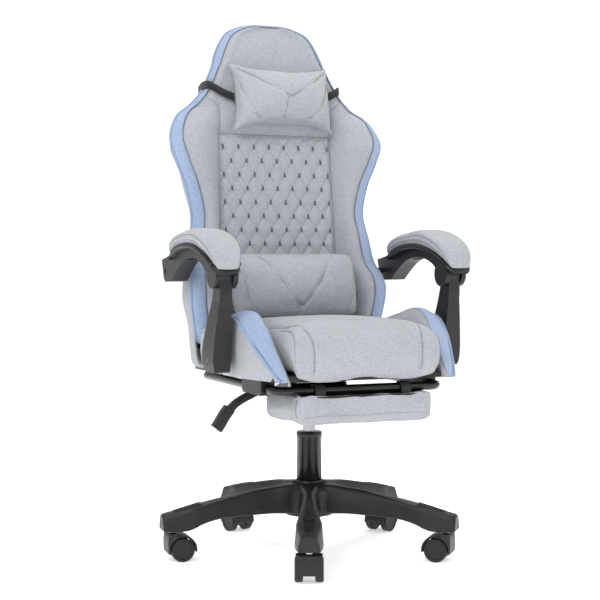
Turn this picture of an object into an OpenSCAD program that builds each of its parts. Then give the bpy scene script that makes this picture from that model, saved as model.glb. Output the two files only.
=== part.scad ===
// Reclining gaming chair with a five-legged base, linked armrests and a pull-out footrest.
// Millimetres. The origin is on the floor under the gas lift, +Z is up and the sitter faces -Y.
// Left and right are the sitter's: left is +X, right is -X.

/* [Base] */
// Radius from the column to a leg's tip
base_r = 330; // [310:5:350]
// Direction of the first leg, in degrees from +X
base_turn = -113.5; // [-180:0.5:180]
// Width of a leg at its widest point
leg_w = 57; // [50:1:62]
// Height of the underside of a leg's tip
leg_floor = 65; // [64:1:70]
// Height of the top of the hub
hub_top = 158; // [150:1:165]

/* [Casters] */
// Diameter of a caster wheel
wheel_d = 50; // [48:1:50]
// Width over both wheels of a caster
caster_w = 58; // [54:1:60]
// Gap between the two wheels of a caster
wheel_gap = 24; // [24:1:26]
// Distance from the stem's axis to the wheels' axle
trail = 19; // [16:1:20]

/* [Gas lift] */
// Diameter of the outer tube
tube_d = 50; // [50:1:52]
// Height of the top of the outer tube
tube_top = 275; // [265:1:280]
// Diameter of the sliding gas cylinder
cylinder_d = 28; // [28:1:28]
// Diameter of the piston rod
rod_d = 10; // [8:1:10]

/* [Seat] */
// Width of the seat cushion
seat_w = 340; // [330:1:340]
// Distance of the cushion's front from the column
seat_front = 312; // [305:1:318]
// Height of the underside of the seat board
seat_floor = 400; // [400:1:404]
// Height of the top of the seat cushion
seat_top = 508; // [500:1:512]
// Width over both side wings
wing_w = 460; // [440:2:462]
// Height of the top of the wings
wing_top = 533; // [520:1:540]

/* [Back] */
// Position of the recline axis behind the column
recline_y = 176; // [176:1:180]
// Height of the recline axis
recline_z = 440; // [438:1:442]
// Lean of the back when it is upright, in degrees
lean = 11.3; // [10:0.1:12]
// Length of the back from the recline axis to its top
back_h = 746; // [730:2:760]
// Width over the shoulders
shoulder_w = 524; // [500:2:530]
// Width at the waist
waist_w = 420; // [400:2:430]
// Width over the hips
hip_w = 490; // [470:2:490]
// Width of the head section
head_w = 270; // [250:2:280]
// Width of the quilted centre panel at its top
panel_w = 274; // [260:2:280]

/* [Pillows] */
// Width of the head pillow
head_pillow_w = 252; // [230:2:256]
// Height of the head pillow
head_pillow_h = 150; // [130:2:156]
// Width of the lumbar pillow
lumbar_w = 292; // [270:2:300]
// Height of the lumbar pillow
lumbar_h = 146; // [120:2:146]

/* [Armrests] */
// Distance of an armrest's middle from the centre plane
arm_x = 262; // [260:1:264]
// Width of an armrest pad
arm_pad_w = 72; // [66:1:76]
// Position of the front pivot of an armrest
arm_front_y = -162; // [-166:1:-158]
// Height of the front pivot of an armrest
arm_front_z = 609; // [606:1:612]
// Position of the rear pivot of an armrest
arm_rear_y = 140; // [138:1:142]
// Height of the rear pivot of an armrest
arm_rear_z = 613; // [611:1:615]

/* [Footrest] */
// Width of the footrest pad
foot_w = 292; // [280:2:300]
// Length of the footrest pad
foot_l = 190; // [180:2:190]
// Thickness of the footrest pad with its board
foot_h = 52; // [44:1:54]
// Distance of each rail from the centre plane
rail_x = 182; // [178:1:182]
// Diameter of the rails
rail_d = 18; // [16:1:18]
// Position of the front bar
bar_y = -262; // [-264:1:-258]

/* [Hidden] */
$fn = 48;

// Colours
plastic = [0.16, 0.16, 0.17];
steel = [0.62, 0.63, 0.65];
black_steel = [0.10, 0.10, 0.11];
fabric = [0.74, 0.77, 0.80];
accent = [0.62, 0.73, 0.90];
strap_black = [0.06, 0.06, 0.07];
timber = [0.72, 0.60, 0.44];

// Shared fits and thicknesses
run_gap = 0.05;
board_t = 12;
plate_t = 5;

// Casters
stem_r = base_r - 23;
stem_d = 11;
axle_d = 6;
axle_z = wheel_d / 2;
collar_top = leg_floor - 4;
hood_in = wheel_d / 2 + 1.5;
hood_out = hood_in + 3;

// Gas lift and tilt mechanism
tube_floor = 76;
tilt_y = -45;
tilt_z = 368;
housing_x = 55;
knob_y = -62;
lever_y = -64;
lever_z = 362;

// Footrest
rail_z = 381;
rail_rear = 150;
corner_r = 30;
foot_top = 370;
foot_front = bar_y - 33;

// Armrest linkage: the lower pivot closes the parallelogram
lower_y = arm_front_y - arm_rear_y + recline_y;
lower_z = arm_front_z - arm_rear_z + recline_z;
pivot_d = 10;
knuckle_x = [arm_x - 16, arm_x + 10];
arm_half = 21;

// Back, in its own frame: x across, v up the back, w forward of the piping plane
plane_gap = 61.8;
shell_back = -45;
shell_face = -30;
pad_back = -26;
head_face = 28;
stud_y = (arm_rear_y - recline_y) * cos(lean) - (arm_rear_z - recline_z) * sin(lean);
stud_v = (arm_rear_y - recline_y) * sin(lean) + (arm_rear_z - recline_z) * cos(lean);
stud_d = 12;
panel_low = 50;
panel_bend = 219;
panel_high = 478;
panel_deep = -14;
panel_shallow = 11;
band_w = 26;
band_rise = 14;

// ---- Curves ----

// A point on the smooth curve from b to c, with neighbours a and d
function blend_point(a, b, c, d, t) =
    0.5 * (2 * b + (c - a) * t + (2 * a - 5 * b + 4 * c - d) * t * t
        + (3 * b - a - 3 * c + d) * t * t * t);

// A smooth open curve through the points
function smooth(p, steps = 4) = let (last = len(p) - 1) concat(
    [for (i = [0:last - 1]) for (k = [0:steps - 1])
        blend_point(p[max(i - 1, 0)], p[i], p[i + 1], p[min(i + 2, last)], k / steps)],
    [p[last]]);

// An arc of radius r about c, from angle a to angle b
function arc(c, r, a, b, steps = 5) =
    [for (i = [0:steps]) let (t = a + (b - a) * i / steps) c + r * [cos(t), sin(t)]];

// A rectangle from low to high with its bottom and top corners rounded
function round_box(low, high, bottom_r, top_r) = concat(
    arc([low.x + bottom_r, low.y + bottom_r], bottom_r, 180, 270),
    arc([high.x - bottom_r, low.y + bottom_r], bottom_r, 270, 360),
    arc([high.x - top_r, high.y - top_r], top_r, 0, 90),
    arc([low.x + top_r, high.y - top_r], top_r, 90, 180));

function backwards(p) = [for (i = [len(p) - 1:-1:0]) p[i]];
function mirrored(p) = [for (q = backwards(p)) [-q.x, q.y]];

// ---- Placing ----

// Extrudes [y, z] points from x = x0 to x1
module side_slab(points, x0, x1) {
    translate([x0, 0, 0]) rotate([90, 0, 90]) linear_extrude(x1 - x0) polygon(points);
}

// Extrudes [x, z] points from y = y0 to y1
module front_slab(points, y0, y1) {
    translate([0, y1, 0]) rotate([90, 0, 0]) linear_extrude(y1 - y0) polygon(points);
}

// A round bar along X through (y, z)
module x_bar(d, x0, x1, y, z) {
    translate([x0, y, z]) rotate([0, 90, 0]) cylinder(d = d, h = x1 - x0);
}

// Draws its children on one side: 1 is the sitter's left, -1 the right
module on_side(side) {
    mirror([side < 0 ? 1 : 0, 0, 0]) children();
}

module both_sides() {
    for (side = [1, -1]) on_side(side) children();
}

// Puts the back's own frame in its place
module on_back() {
    translate([0, recline_y, recline_z]) rotate([-lean, 0, 0]) children();
}

// Extrudes [x, v] points of the back from depth w0 to w1
module back_slab(points, w0, w1) {
    front_slab(points, -plane_gap - w1, -plane_gap - w0);
}

// Joins rings of equal length into one closed solid
module loft(rings) {
    n = len(rings[0]);
    m = len(rings);
    sides = [for (i = [0:m - 2]) for (k = [0:n - 1]) let (a = i * n + k, b = i * n + (k + 1) % n)
        each [[a, b, b + n], [a, b + n, a + n]]];
    polyhedron(
        points = [for (ring = rings) each ring],
        faces = concat([backwards([for (k = [0:n - 1]) k])], [[for (k = [0:n - 1]) (m - 1) * n + k]], sides));
}

// ---- Base ----

module leg() {
    side = concat(
        [[20, 90], [100, 91], [170, 88]],
        smooth([[240, 80], [base_r - 60, 69], [base_r - 38, leg_floor]]),
        [[base_r - 2, leg_floor], [base_r, leg_floor + 3], [base_r - 4, 97]],
        smooth([[base_r - 30, 104], [base_r - 110, 121], [130, 140], [20, 152]]));
    half = smooth([[20, leg_w / 2], [90, 20], [190, 23], [base_r - 35, leg_w / 2], [base_r - 8, 24], [base_r, 17]]);
    intersection() {
        translate([0, leg_w, 0]) rotate([90, 0, 0]) linear_extrude(2 * leg_w) polygon(side);
        linear_extrude(hub_top) polygon(concat(half, [for (p = backwards(half)) [p.x, -p.y]]));
    }
}

module star_base() {
    hub = concat([[0, 84], [52, 84], [56, 98], [56, 132]],
        smooth([[50, 144], [38, 150], [31, 154], [tube_d / 2 + 4, hub_top]]), [[0, hub_top]]);
    color(plastic) difference() {
        union() {
            rotate_extrude() polygon(hub);
            for (i = [0:4]) rotate([0, 0, base_turn + 72 * i]) leg();
        }
        translate([0, 0, 80]) cylinder(d = tube_d, h = 90);
        for (i = [0:4]) on_leg(i) translate([0, 0, leg_floor - 1]) cylinder(d = stem_d + 2 * run_gap, h = 30);
    }
}

// Puts its children at the caster stem of leg i
module on_leg(i) {
    rotate([0, 0, base_turn + 72 * i]) translate([stem_r, 0, 0]) children();
}

module caster_hood(i) {
    canopy = [[-trail, axle_z], [40, axle_z], [40, 70], [-trail - 40, 70], [-trail - 40, axle_z + 22]];
    web = [[-trail - 14, axle_z], [-trail, axle_z - 16], [-trail + 14, axle_z], [11, 38], [11, collar_top - 8],
        [-11, collar_top - 8], [-trail - 14, 50]];
    color(plastic) on_leg(i) difference() {
        union() {
            intersection() {
                translate([-trail, caster_w / 2, axle_z]) rotate([90, 0, 0]) difference() {
                    cylinder(r = hood_out, h = caster_w);
                    translate([0, 0, -1]) cylinder(r = hood_in, h = caster_w + 2);
                }
                front_slab(canopy, -caster_w, caster_w);
            }
            front_slab(web, 1 - wheel_gap / 2, wheel_gap / 2 - 1);
            translate([0, 0, 40]) cylinder(r = 11, h = collar_top - 40);
        }
        translate([0, 0, 42]) cylinder(d = stem_d, h = 30);
        translate([-trail, caster_w, axle_z]) rotate([90, 0, 0]) cylinder(d = axle_d, h = 2 * caster_w);
    }
}

module caster_pins(i) {
    axle_l = caster_w - 8;
    color(steel) on_leg(i) {
        translate([0, 0, 42]) cylinder(d = stem_d, h = 48);
        translate([0, 0, collar_top]) cylinder(d = 18, h = 3);
        translate([-trail, axle_l / 2, axle_z]) rotate([90, 0, 0]) cylinder(d = axle_d, h = axle_l);
    }
}

module caster_wheels(i) {
    tread = wheel_d / 2;
    inner = wheel_gap / 2;
    outer = caster_w / 2;
    bore = axle_d / 2 + run_gap;
    half = [[bore, inner], [tread - 3, inner], [tread, inner + 2.5], [tread, outer - 2.5], [tread - 2, outer],
        [tread - 6, outer], [tread - 7, outer - 1.5], [0, outer - 1.5], [0, outer - 3.5], [bore, outer - 3.5]];
    color(plastic) on_leg(i) translate([-trail, 0, axle_z])
        for (turn = [90, -90]) rotate([turn, 0, 0]) rotate_extrude() polygon(half);
}

// ---- Gas lift ----

module gas_lift_tube() {
    color(black_steel) difference() {
        translate([0, 0, tube_floor]) cylinder(d = tube_d, h = tube_top - tube_floor);
        translate([0, 0, tube_floor + 6]) cylinder(d = tube_d - 3, h = tube_top);
        translate([0, 0, tube_floor - 1]) cylinder(d = rod_d + 2 * run_gap, h = 10);
    }
}

module column_collar() {
    color(plastic) difference() {
        translate([0, 0, tube_top - 10]) cylinder(d = tube_d + 4, h = 14);
        translate([0, 0, tube_top - 11]) cylinder(d = tube_d, h = 11);
        cylinder(d = cylinder_d + 1, h = tube_top + 10);
    }
}

module guide_bush() {
    color("ivory") translate([0, 0, tube_top - 45]) difference() {
        cylinder(d = tube_d - 3, h = 45);
        translate([0, 0, -1]) cylinder(d = cylinder_d + 2 * run_gap, h = 47);
    }
}

module piston_rod() {
    color(steel) {
        translate([0, 0, tube_floor - 5]) cylinder(d = rod_d, h = 230);
        translate([0, 0, tube_floor - 5]) cylinder(d = 18, h = 4.5);
    }
}

module thrust_bearing() {
    color(steel) translate([0, 0, tube_floor + 6.2]) difference() {
        cylinder(d = 28, h = 6);
        translate([0, 0, -1]) cylinder(d = rod_d, h = 8);
    }
}

module gas_cylinder() {
    foot = 118;
    top = 366;
    color("silver") difference() {
        translate([0, 0, foot]) cylinder(d = cylinder_d, h = top - foot);
        translate([0, 0, foot + 8]) cylinder(d = cylinder_d - 6, h = top - foot - 28);
        translate([0, 0, foot - 1]) cylinder(d = rod_d + 2 * run_gap, h = 12);
    }
}

// ---- Tilt mechanism ----

module tilt_housing() {
    side = [[-85, 345], [-85, 366], [-62, 376], [8, 376], [75, 356], [75, 344], [45, 335], [-38, 335]];
    color(black_steel) difference() {
        union() {
            side_slab(side, -housing_x, housing_x);
            translate([0, 0, 322]) cylinder(d = cylinder_d + 16, h = 20);
        }
        translate([0, 0, 320]) cylinder(d = cylinder_d, h = 46);
        x_bar(pivot_d, -housing_x - 1, housing_x + 1, tilt_y, tilt_z);
        translate([0, knob_y, 330]) cylinder(d = 8 + 2 * run_gap, h = 28);
    }
}

module tilt_pin() {
    color(steel) {
        x_bar(pivot_d, -housing_x - 11, housing_x + 11, tilt_y, tilt_z);
        both_sides() x_bar(16, housing_x + 8, housing_x + 11, tilt_y, tilt_z);
    }
}

module tension_spring() {
    wire = 4;
    color(steel) translate([0, knob_y, 319.5]) for (turn = [0:3])
        translate([0, 0, turn * 4.5]) rotate_extrude() translate([13, 0]) circle(d = wire);
}

module tension_knob() {
    grip_n = 12;
    grip_r = 21;
    color(plastic) translate([0, knob_y, 0]) {
        difference() {
            translate([0, 0, 294]) cylinder(r = grip_r, h = 23);
            for (i = [0:grip_n - 1]) rotate([0, 0, i * 360 / grip_n]) translate([grip_r + 2, 0, 293]) cylinder(r = 4, h = 25);
        }
        translate([0, 0, 310]) cylinder(d = 8, h = 45);
    }
}

// ---- Lift lever: its rod bends down under the rail ----

lever_bend = -144;
lever_drop = 22;
lever_reach = 58;

module on_lever_slope() {
    translate([lever_bend, lever_y, lever_z]) rotate([0, -90 - lever_drop, 0]) children();
}

module lift_lever() {
    paddle = smooth([[-190, 347], [-200, 344], [-212, 332], [-222, 314], [-232, 300], [-231, 291], [-221, 287],
        [-211, 290], [-203, 305], [-196, 320], [-188, 334]]);
    color(plastic) union() {
        translate([lever_bend, lever_y, lever_z]) rotate([0, 90, 0]) cylinder(d = 9, h = -housing_x - 2 - lever_bend);
        translate([lever_bend, lever_y + 6, lever_z]) rotate([90, 0, 0]) cylinder(d = 12, h = 12);
        on_lever_slope() cylinder(d = 9, h = lever_reach);
        front_slab(paddle, lever_y - 12, lever_y + 12);
    }
}

module lever_boot() {
    ribs = 6;
    pitch = 6;
    color(strap_black) on_lever_slope() difference() {
        for (i = [0:ribs - 1]) translate([0, 0, 7 + i * pitch]) {
            cylinder(d = 15, h = 3);
            translate([0, 0, 2]) cylinder(d = 12, h = pitch - 2);
        }
        translate([0, 0, -1]) cylinder(d = 9, h = lever_reach);
    }
}

// ---- Seat ----

bolt_x = 48;
bolt_y = [-98, 84];

module mechanism_plate() {
    ear = [[-112, 388], [-56, 387], [-54, 359], [-36, 359], [-34, 387], [98, 388], [98, 396], [-112, 396]];
    color(black_steel) difference() {
        union() {
            translate([-62, -112, seat_floor - plate_t]) cube([124, 210, plate_t]);
            both_sides() side_slab(ear, housing_x + 3, housing_x + 7);
        }
        x_bar(pivot_d + 2 * run_gap, -70, 70, tilt_y, tilt_z);
        for (x = [-bolt_x, bolt_x], y = bolt_y) translate([x, y, 380]) cylinder(d = 8, h = 30);
    }
}

module seat_bolts() {
    color(steel) for (x = [-bolt_x, bolt_x], y = bolt_y) translate([x, y, 0]) {
        translate([0, 0, seat_floor - plate_t]) cylinder(d = 8, h = plate_t + 10);
        translate([0, 0, seat_floor - plate_t - 5]) cylinder(d = 13, h = 5, $fn = 6);
    }
}

module board_solid() {
    translate([-200, -284, seat_floor]) cube([400, 382, board_t]);
}

module seat_board() {
    color(timber) difference() {
        board_solid();
        for (x = [-bolt_x, bolt_x], y = bolt_y) translate([x, y, seat_floor - 1]) cylinder(d = 8, h = board_t - 1);
    }
}

module seat_cushion() {
    side = concat(
        [[126, seat_floor + 14], [126, 470]],
        smooth([[118, 488], [60, 497], [-60, seat_top - 2], [-180, seat_top], [-250, seat_top - 3],
            [-285, seat_top - 16], [-seat_front + 7, 482], [-seat_front, 455], [-seat_front + 2, 420]]),
        [[-seat_front + 12, seat_floor + 1]], [[118, seat_floor + 1]]);
    half = concat([[seat_w / 2 - 14, seat_floor]],
        smooth([[seat_w / 2 - 3, 425], [seat_w / 2, 450], [seat_w / 2 - 3, 480], [seat_w / 2 - 18, 497],
            [seat_w / 2 - 70, seat_top - 2], [0, seat_top + 1]]));
    color(fabric) difference() {
        intersection() {
            side_slab(side, -seat_w, seat_w);
            front_slab(concat(half, mirrored(half)), -seat_front - 10, 130);
        }
        board_solid();
    }
}

module seat_wing() {
    inner = seat_w / 2 + 1;
    outer = wing_w / 2;
    side = concat(
        [[96, seat_floor + 1], [96, 432], [80, 442], [80, 496]],
        smooth([[20, 503], [-60, 519], [-118, wing_top - 1], [-150, wing_top], [-178, wing_top - 8],
            [-208, 503], [-243, 468], [-274, 436], [-300, 408]]),
        [[-300, seat_floor + 1]]);
    plan = concat([[inner, 96], [inner, -302], [inner + 24, -302]],
        smooth([[outer - 28, -298], [outer - 14, -262], [outer - 3, -205], [outer, -140], [outer, -60], [outer - 6, 60]]),
        [[outer - 12, 96]]);
    color(accent) difference() {
        intersection() {
            side_slab(side, inner - 1, outer + 1);
            linear_extrude(wing_top + 10) polygon(plan);
        }
        board_solid();
        arm_seat_bolt();
    }
}

module seat_wing_left() { on_side(1) seat_wing(); }
module seat_wing_right() { on_side(-1) seat_wing(); }

// The lower armrest pivot: a bolt on a plate that stands on the seat board
module arm_seat_bolt() {
    union() {
        translate([176, lower_y - 16, seat_floor + board_t]) cube([5, 32, 40]);
        x_bar(pivot_d, 178, arm_x + 15, lower_y, lower_z);
        x_bar(16, arm_x + 15, arm_x + 19, lower_y, lower_z);
    }
}

module arm_seat_bolts() {
    color(black_steel) both_sides() arm_seat_bolt();
}

// ---- Recliner ----

module recliner_brackets() {
    arm = [[30, seat_floor - 8], [recline_y + 24, seat_floor - 8], [recline_y + 24, seat_floor + 2],
        [recline_y + 15, recline_z], [recline_y - 15, recline_z], [recline_y - 12, seat_floor]];
    color(black_steel) {
        for (side = [1, -1]) on_side(side) union() {
            side_slab(concat(arm, [[30, seat_floor]]), 190, 194);
            x_bar(30, 190, 194, recline_y, recline_z);
            x_bar(16, 192, side > 0 ? 264 : 204, recline_y, recline_z);
        }
    }
}

module recliner_arms() {
    strip = [[-16.5, -8], [-16.5, 150], [-8, 150], [2, 120], [15, 20], [12, -8]];
    color(black_steel) on_back() both_sides() difference() {
        union() {
            side_slab(strip, 196, 200);
            x_bar(30, 196, 200, 0, 0);
        }
        x_bar(16 + 2 * run_gap, 190, 202, 0, 0);
    }
}

module recline_lever() {
    handle = smooth([[recline_y + 6, 430], [recline_y - 50, 436], [recline_y - 100, 444], [recline_y - 118, 450],
        [recline_y - 120, 460], [recline_y - 108, 466], [recline_y - 50, 458], [recline_y + 6, 450]]);
    color(plastic) difference() {
        union() {
            x_bar(30, 248, 264, recline_y, recline_z);
            side_slab(handle, 256, 264);
        }
        x_bar(16 + 2 * run_gap, 246, 266, recline_y, recline_z);
    }
}

// ---- Footrest ----

module rail_guides() {
    color(plastic) both_sides() difference() {
        side_slab([[-206, 368], [-111, 368], [-105, 374], [-105, seat_floor], [-212, seat_floor], [-212, 374]],
            rail_x - 15, rail_x + 15);
        translate([rail_x, -100, rail_z]) rotate([90, 0, 0]) cylinder(d = rail_d + 2 * run_gap, h = 120);
    }
}

module footrest_rail(side) {
    color(black_steel) translate([side * rail_x, rail_rear, rail_z]) rotate([90, 0, 0]) {
        cylinder(d = rail_d, h = rail_rear - bar_y - corner_r);
        translate([0, 0, -3]) cylinder(d = rail_d - 2, h = 4);
    }
}

module footrest_rail_left() { footrest_rail(1); }
module footrest_rail_right() { footrest_rail(-1); }

module footrest_bar() {
    straight = rail_x - corner_r;
    color(black_steel) union() {
        x_bar(rail_d, -straight, straight, bar_y, rail_z);
        both_sides() translate([straight, bar_y + corner_r, rail_z]) intersection() {
            rotate_extrude() translate([corner_r, 0]) circle(d = rail_d);
            translate([0, -2 * corner_r, -rail_d]) cube([2 * corner_r, 2 * corner_r, 2 * rail_d]);
        }
    }
}

module foot_board_solid() {
    translate([8 - foot_w / 2, foot_front + 8, foot_top - 8]) cube([foot_w - 16, foot_l - 16, 9]);
}

module footrest_board() {
    color(timber) intersection() {
        foot_board_solid();
        translate([-foot_w, foot_front, 0]) cube([2 * foot_w, foot_l, foot_top]);
    }
}

module footrest_pad() {
    color(fabric) difference() {
        intersection() {
            side_slab(round_box([foot_front, foot_top - foot_h], [foot_front + foot_l, foot_top], 12, 4),
                -foot_w / 2, foot_w / 2);
            front_slab(round_box([-foot_w / 2, foot_top - foot_h], [foot_w / 2, foot_top], 10, 3),
                foot_front - 1, foot_front + foot_l + 1);
        }
        foot_board_solid();
    }
}

module footrest_clips() {
    clip = [[-15, foot_top], [15, foot_top], [15, 380], [8, 393], [-8, 393], [-15, 380]];
    color(plastic) for (x = [-106, 84]) difference() {
        translate([0, bar_y, 0]) side_slab(clip, x, x + 22);
        x_bar(rail_d + 2 * run_gap, x - 1, x + 23, bar_y, rail_z);
    }
}

// ---- Back ----

// The right half of the back's outline, from its bottom corner to its top centre. A tuck pulls in the
// shoulders most, the head and waist less, and the hips not at all.
function half_outline(inset, tuck = 0) = let (
    hip = hip_w / 2 - inset,
    waist = waist_w / 2 - inset - 0.35 * tuck,
    shoulder = shoulder_w / 2 - inset - tuck,
    head = head_w / 2 - inset - 0.7 * tuck,
    low = inset - 30,
    high = back_h - inset - 0.5 * tuck)
    smooth([
        [hip - 50, low], [hip - 30, low + 6], [hip - 19, 0], [hip - 8, 48], [hip, 98], [hip - 2, 141],
        [hip - 13, 181], [waist + 6, 241], [waist, 299], [waist + 14, 364], [shoulder - 12, 415], [shoulder, 462],
        [shoulder - 22, 513], [shoulder - 62, 547], [head + 32, 579], [head + 4, 634], [head - 6, high - 76],
        [0.82 * head, high - 40], [0.67 * head, high - 18], [0.34 * head, high - 2], [0, high]
    ]);

function outline(inset, tuck = 0) = let (half = half_outline(inset, tuck)) concat(half, mirrored(half));

module back_shell() {
    color(fabric) on_back() back_slab(outline(2, 24), shell_back, shell_face);
}

// The frame: a flat ring behind the foam, and a stud on each side for the armrest
module back_frame() {
    plate_x = 212;
    color(black_steel) on_back() union() {
        difference() {
            back_slab(outline(16, 24), shell_face, pad_back);
            back_slab(outline(44, 24), shell_face - 1, pad_back + 1);
        }
        both_sides() stud_solid(plate_x);
    }
}

module stud_solid(plate_x = 212) {
    x_bar(stud_d, plate_x, arm_x + 19, stud_y, stud_v);
    translate([plate_x - 4, stud_y - 4, stud_v - 12]) cube([4, -plane_gap - shell_face - stud_y + 4, 24]);
}

function panel_half(v) = panel_w / 2 + 10 * (panel_high - v) / (panel_high - panel_low);
// Depth of the centre panel's face
function panel_face(v) = v < panel_bend ? panel_deep
    : panel_deep + (panel_shallow - panel_deep) * (v - panel_bend) / (panel_high - panel_bend);

module back_cushion() {
    half = [[panel_half(panel_low), panel_low], [panel_half(panel_high), panel_high]];
    face = [for (v = [panel_low - 1, panel_bend, panel_high + 1]) [-plane_gap - panel_face(v), v]];
    color(fabric) on_back() intersection() {
        back_slab(concat(half, mirrored(half)), pad_back, head_face);
        side_slab(concat(face, [[-plane_gap - pad_back, panel_high + 1], [-plane_gap - pad_back, panel_low - 1]]),
            -200, 200);
    }
}

// Inner edge of a bolster: it steps outward beside the seat
function bolster_inner(v) = v < 46 ? 178 : v < 62 ? 160 : panel_half(min(v, panel_high)) + 0.5;
// Depth of the back's edge: the wide parts flare forward
function edge_face(x) = max(0, 0.6 * (x - waist_w / 2));

function bolster_ring(p) = let (
    a = bolster_inner(p.y),
    b = p.x - 1,
    edge = edge_face(p.x),
    top = edge + band_rise,
    seam = panel_face(min(p.y, panel_high)),
    d = max(b - a, 4))
    [for (q = [[a, pad_back], [b, pad_back], [b, edge], [b - 0.3 * d, top], [b - 0.5 * d, top + 6],
        [b - 0.75 * d, 0.5 * (top + seam) + 12], [a, seam]]) [q.x, -plane_gap - q.y, p.y]];

module back_bolster() {
    rings = [for (p = half_outline(0)) if (p.y > 8 && p.y < 600) bolster_ring(p)];
    color(accent) on_back() difference() {
        loft(rings);
        stud_solid();
    }
}

module back_bolster_left() { on_side(1) back_bolster(); }
module back_bolster_right() { on_side(-1) back_bolster(); }

module head_cushion() {
    low = panel_high + 1;
    neck = 602;
    inner = panel_w / 2;
    color(fabric) on_back() intersection() {
        back_slab(outline(4), pad_back, head_face);
        back_slab([[-inner, low], [inner, low], [inner, neck], [300, neck], [300, 900], [-300, 900], [-300, neck],
            [-inner, neck]], pad_back - 1, head_face + 1);
    }
}

module head_pillow() {
    w = head_pillow_w / 2;
    h = head_pillow_h / 2;
    mid = 549;
    back_w = 34;
    thick = 72;
    front = concat(smooth([[w - 8, -h + 6], [w - 7, 0], [w, h - 2]]), smooth([[w - 6, h], [w / 2, h - 7], [0, h - 9]]));
    bottom = smooth([[0, -h + 14], [w / 2, -h + 10], [w - 14, -h + 2]]);
    half = concat(bottom, front);
    lens = smooth([[-h, 5], [-h + 8, 34], [-h / 2, 62], [0, thick], [h / 2, 62], [h - 8, 34], [h, 5]]);
    color(fabric) on_back() translate([0, 0, mid]) intersection() {
        back_slab(concat(half, mirrored(half)), back_w, back_w + thick);
        side_slab(concat([for (p = lens) [-plane_gap - back_w - p.y, p.x]],
            [[-plane_gap - back_w, h], [-plane_gap - back_w, -h]]), -w, w);
    }
}

module head_strap() {
    half = 171;
    front = plane_gap + head_face + 4;
    rear = -plane_gap - shell_back + 1;
    band = 2;
    color(strap_black) on_back() translate([0, 0, 574]) difference() {
        translate([-half - band, -front, 0]) cube([2 * half + 2 * band, front + rear + band, 20]);
        translate([-half, band - front, -1]) cube([2 * half, front + rear - band, 22]);
    }
}

module lumbar_pillow() {
    w = lumbar_w / 2;
    h = lumbar_h / 2;
    mid = 113;
    back_w = -8;
    thick = 108;
    side = [for (a = [0:15:345]) [-plane_gap - back_w - thick / 2 + thick / 2 * pow(abs(cos(a)), 0.7) * sign(cos(a)),
        mid + h * pow(abs(sin(a)), 0.8) * sign(sin(a))]];
    plan = [[w - 10, 0], [w - 10, 26], [w + 4, 60], [w + 4, 80], [w - 12, thick], [12 - w, thick], [-w - 4, 80],
        [-w - 4, 60], [10 - w, 26], [10 - w, 0]];
    color(fabric) on_back() intersection() {
        side_slab(side, -w - 10, w + 10);
        linear_extrude(300) polygon([for (p = plan) [p.x, -plane_gap - back_w - p.y]]);
    }
}

// ---- Armrests ----

module arm_upright() {
    y = lower_y;
    side = concat(
        [[y - 34, 413], [y + 18, 413]],
        smooth([[y + 26, 425], [y + 28, 450], [y + 18, 490], [y - 2, 540], [y - 14, 575], [arm_front_y + 16, 596]]),
        [[arm_front_y - 18, 596]],
        smooth([[arm_front_y - 19, 570], [y - 50, 530], [y - 44, 480], [y - 40, 440], [y - 38, 418]]));
    front = concat([[arm_x - 18, 413], [arm_x + 15, 413]],
        smooth([[arm_x + 19, 430], [arm_x + 19, 460], [arm_x + 14, 520], [arm_x + 10, 556]]),
        [[knuckle_x[1], 700], [knuckle_x[0], 700]], smooth([[knuckle_x[0], 556], [arm_x - 18, 500]]));
    color(plastic) difference() {
        union() {
            intersection() {
                side_slab(side, arm_x - 30, arm_x + 30);
                front_slab(front, -300, 0);
            }
            x_bar(44, knuckle_x[0], knuckle_x[1], arm_front_y, arm_front_z);
        }
        x_bar(pivot_d + 2 * run_gap, arm_x - 40, arm_x + 40, arm_front_y, arm_front_z);
        x_bar(pivot_d + 2 * run_gap, arm_x - 40, arm_x + 40, lower_y, lower_z);
        x_bar(18, arm_x + 14.7, arm_x + 40, lower_y, lower_z);
    }
}

module arm_upright_left() { on_side(1) arm_upright(); }
module arm_upright_right() { on_side(-1) arm_upright(); }

// The underside of an armrest pad, from its front to its rear
function pad_underside(drop) = smooth([for (p = [[-188, 634], [-165, 643], [-135, 655], [-100, 665], [-60, 670],
    [-20, 670], [30, 664], [66, 654], [90, 644]]) [p.x, p.y - drop]]);

module arm_bracket() {
    tray_t = 6;
    arch = concat(backwards(pad_underside(tray_t - 1)),
        [[-186, 622], [-172, 612], [-148, 612]],
        smooth([[-122, 618], [-98, 632], [-60, 642], [-20, 643], [24, 634], [62, 614], [96, 592]]),
        [[arm_rear_y, 590], [arm_rear_y + 12, 598], [arm_rear_y + 26, 638], [arm_rear_y - 20, 646]]);
    tray = concat(pad_underside(0.3), backwards(pad_underside(tray_t)));
    pocket_w = 15;
    color(plastic) difference() {
        union() {
            side_slab(arch, arm_x - 15, arm_x + arm_half);
            side_slab(tray, arm_x - 32, arm_x + 32);
            for (x = [arm_x - 27, arm_x + 11]) x_bar(54, x, x + 10, arm_front_y, arm_front_z);
        }
        x_bar(48, arm_x - 16.5, arm_x + 10.5, arm_front_y, arm_front_z);
        x_bar(stud_d + 0.8, 200, 300, arm_rear_y, arm_rear_z);
        for (i = [0:4]) translate([arm_x - 9, -88 + i * (pocket_w + 5), 620]) cube([24, pocket_w, 30]);
    }
    color(steel) x_bar(pivot_d, arm_x - 27, arm_x + 21, arm_front_y, arm_front_z);
}

module arm_bracket_left() { on_side(1) arm_bracket(); }
module arm_bracket_right() { on_side(-1) arm_bracket(); }

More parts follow.
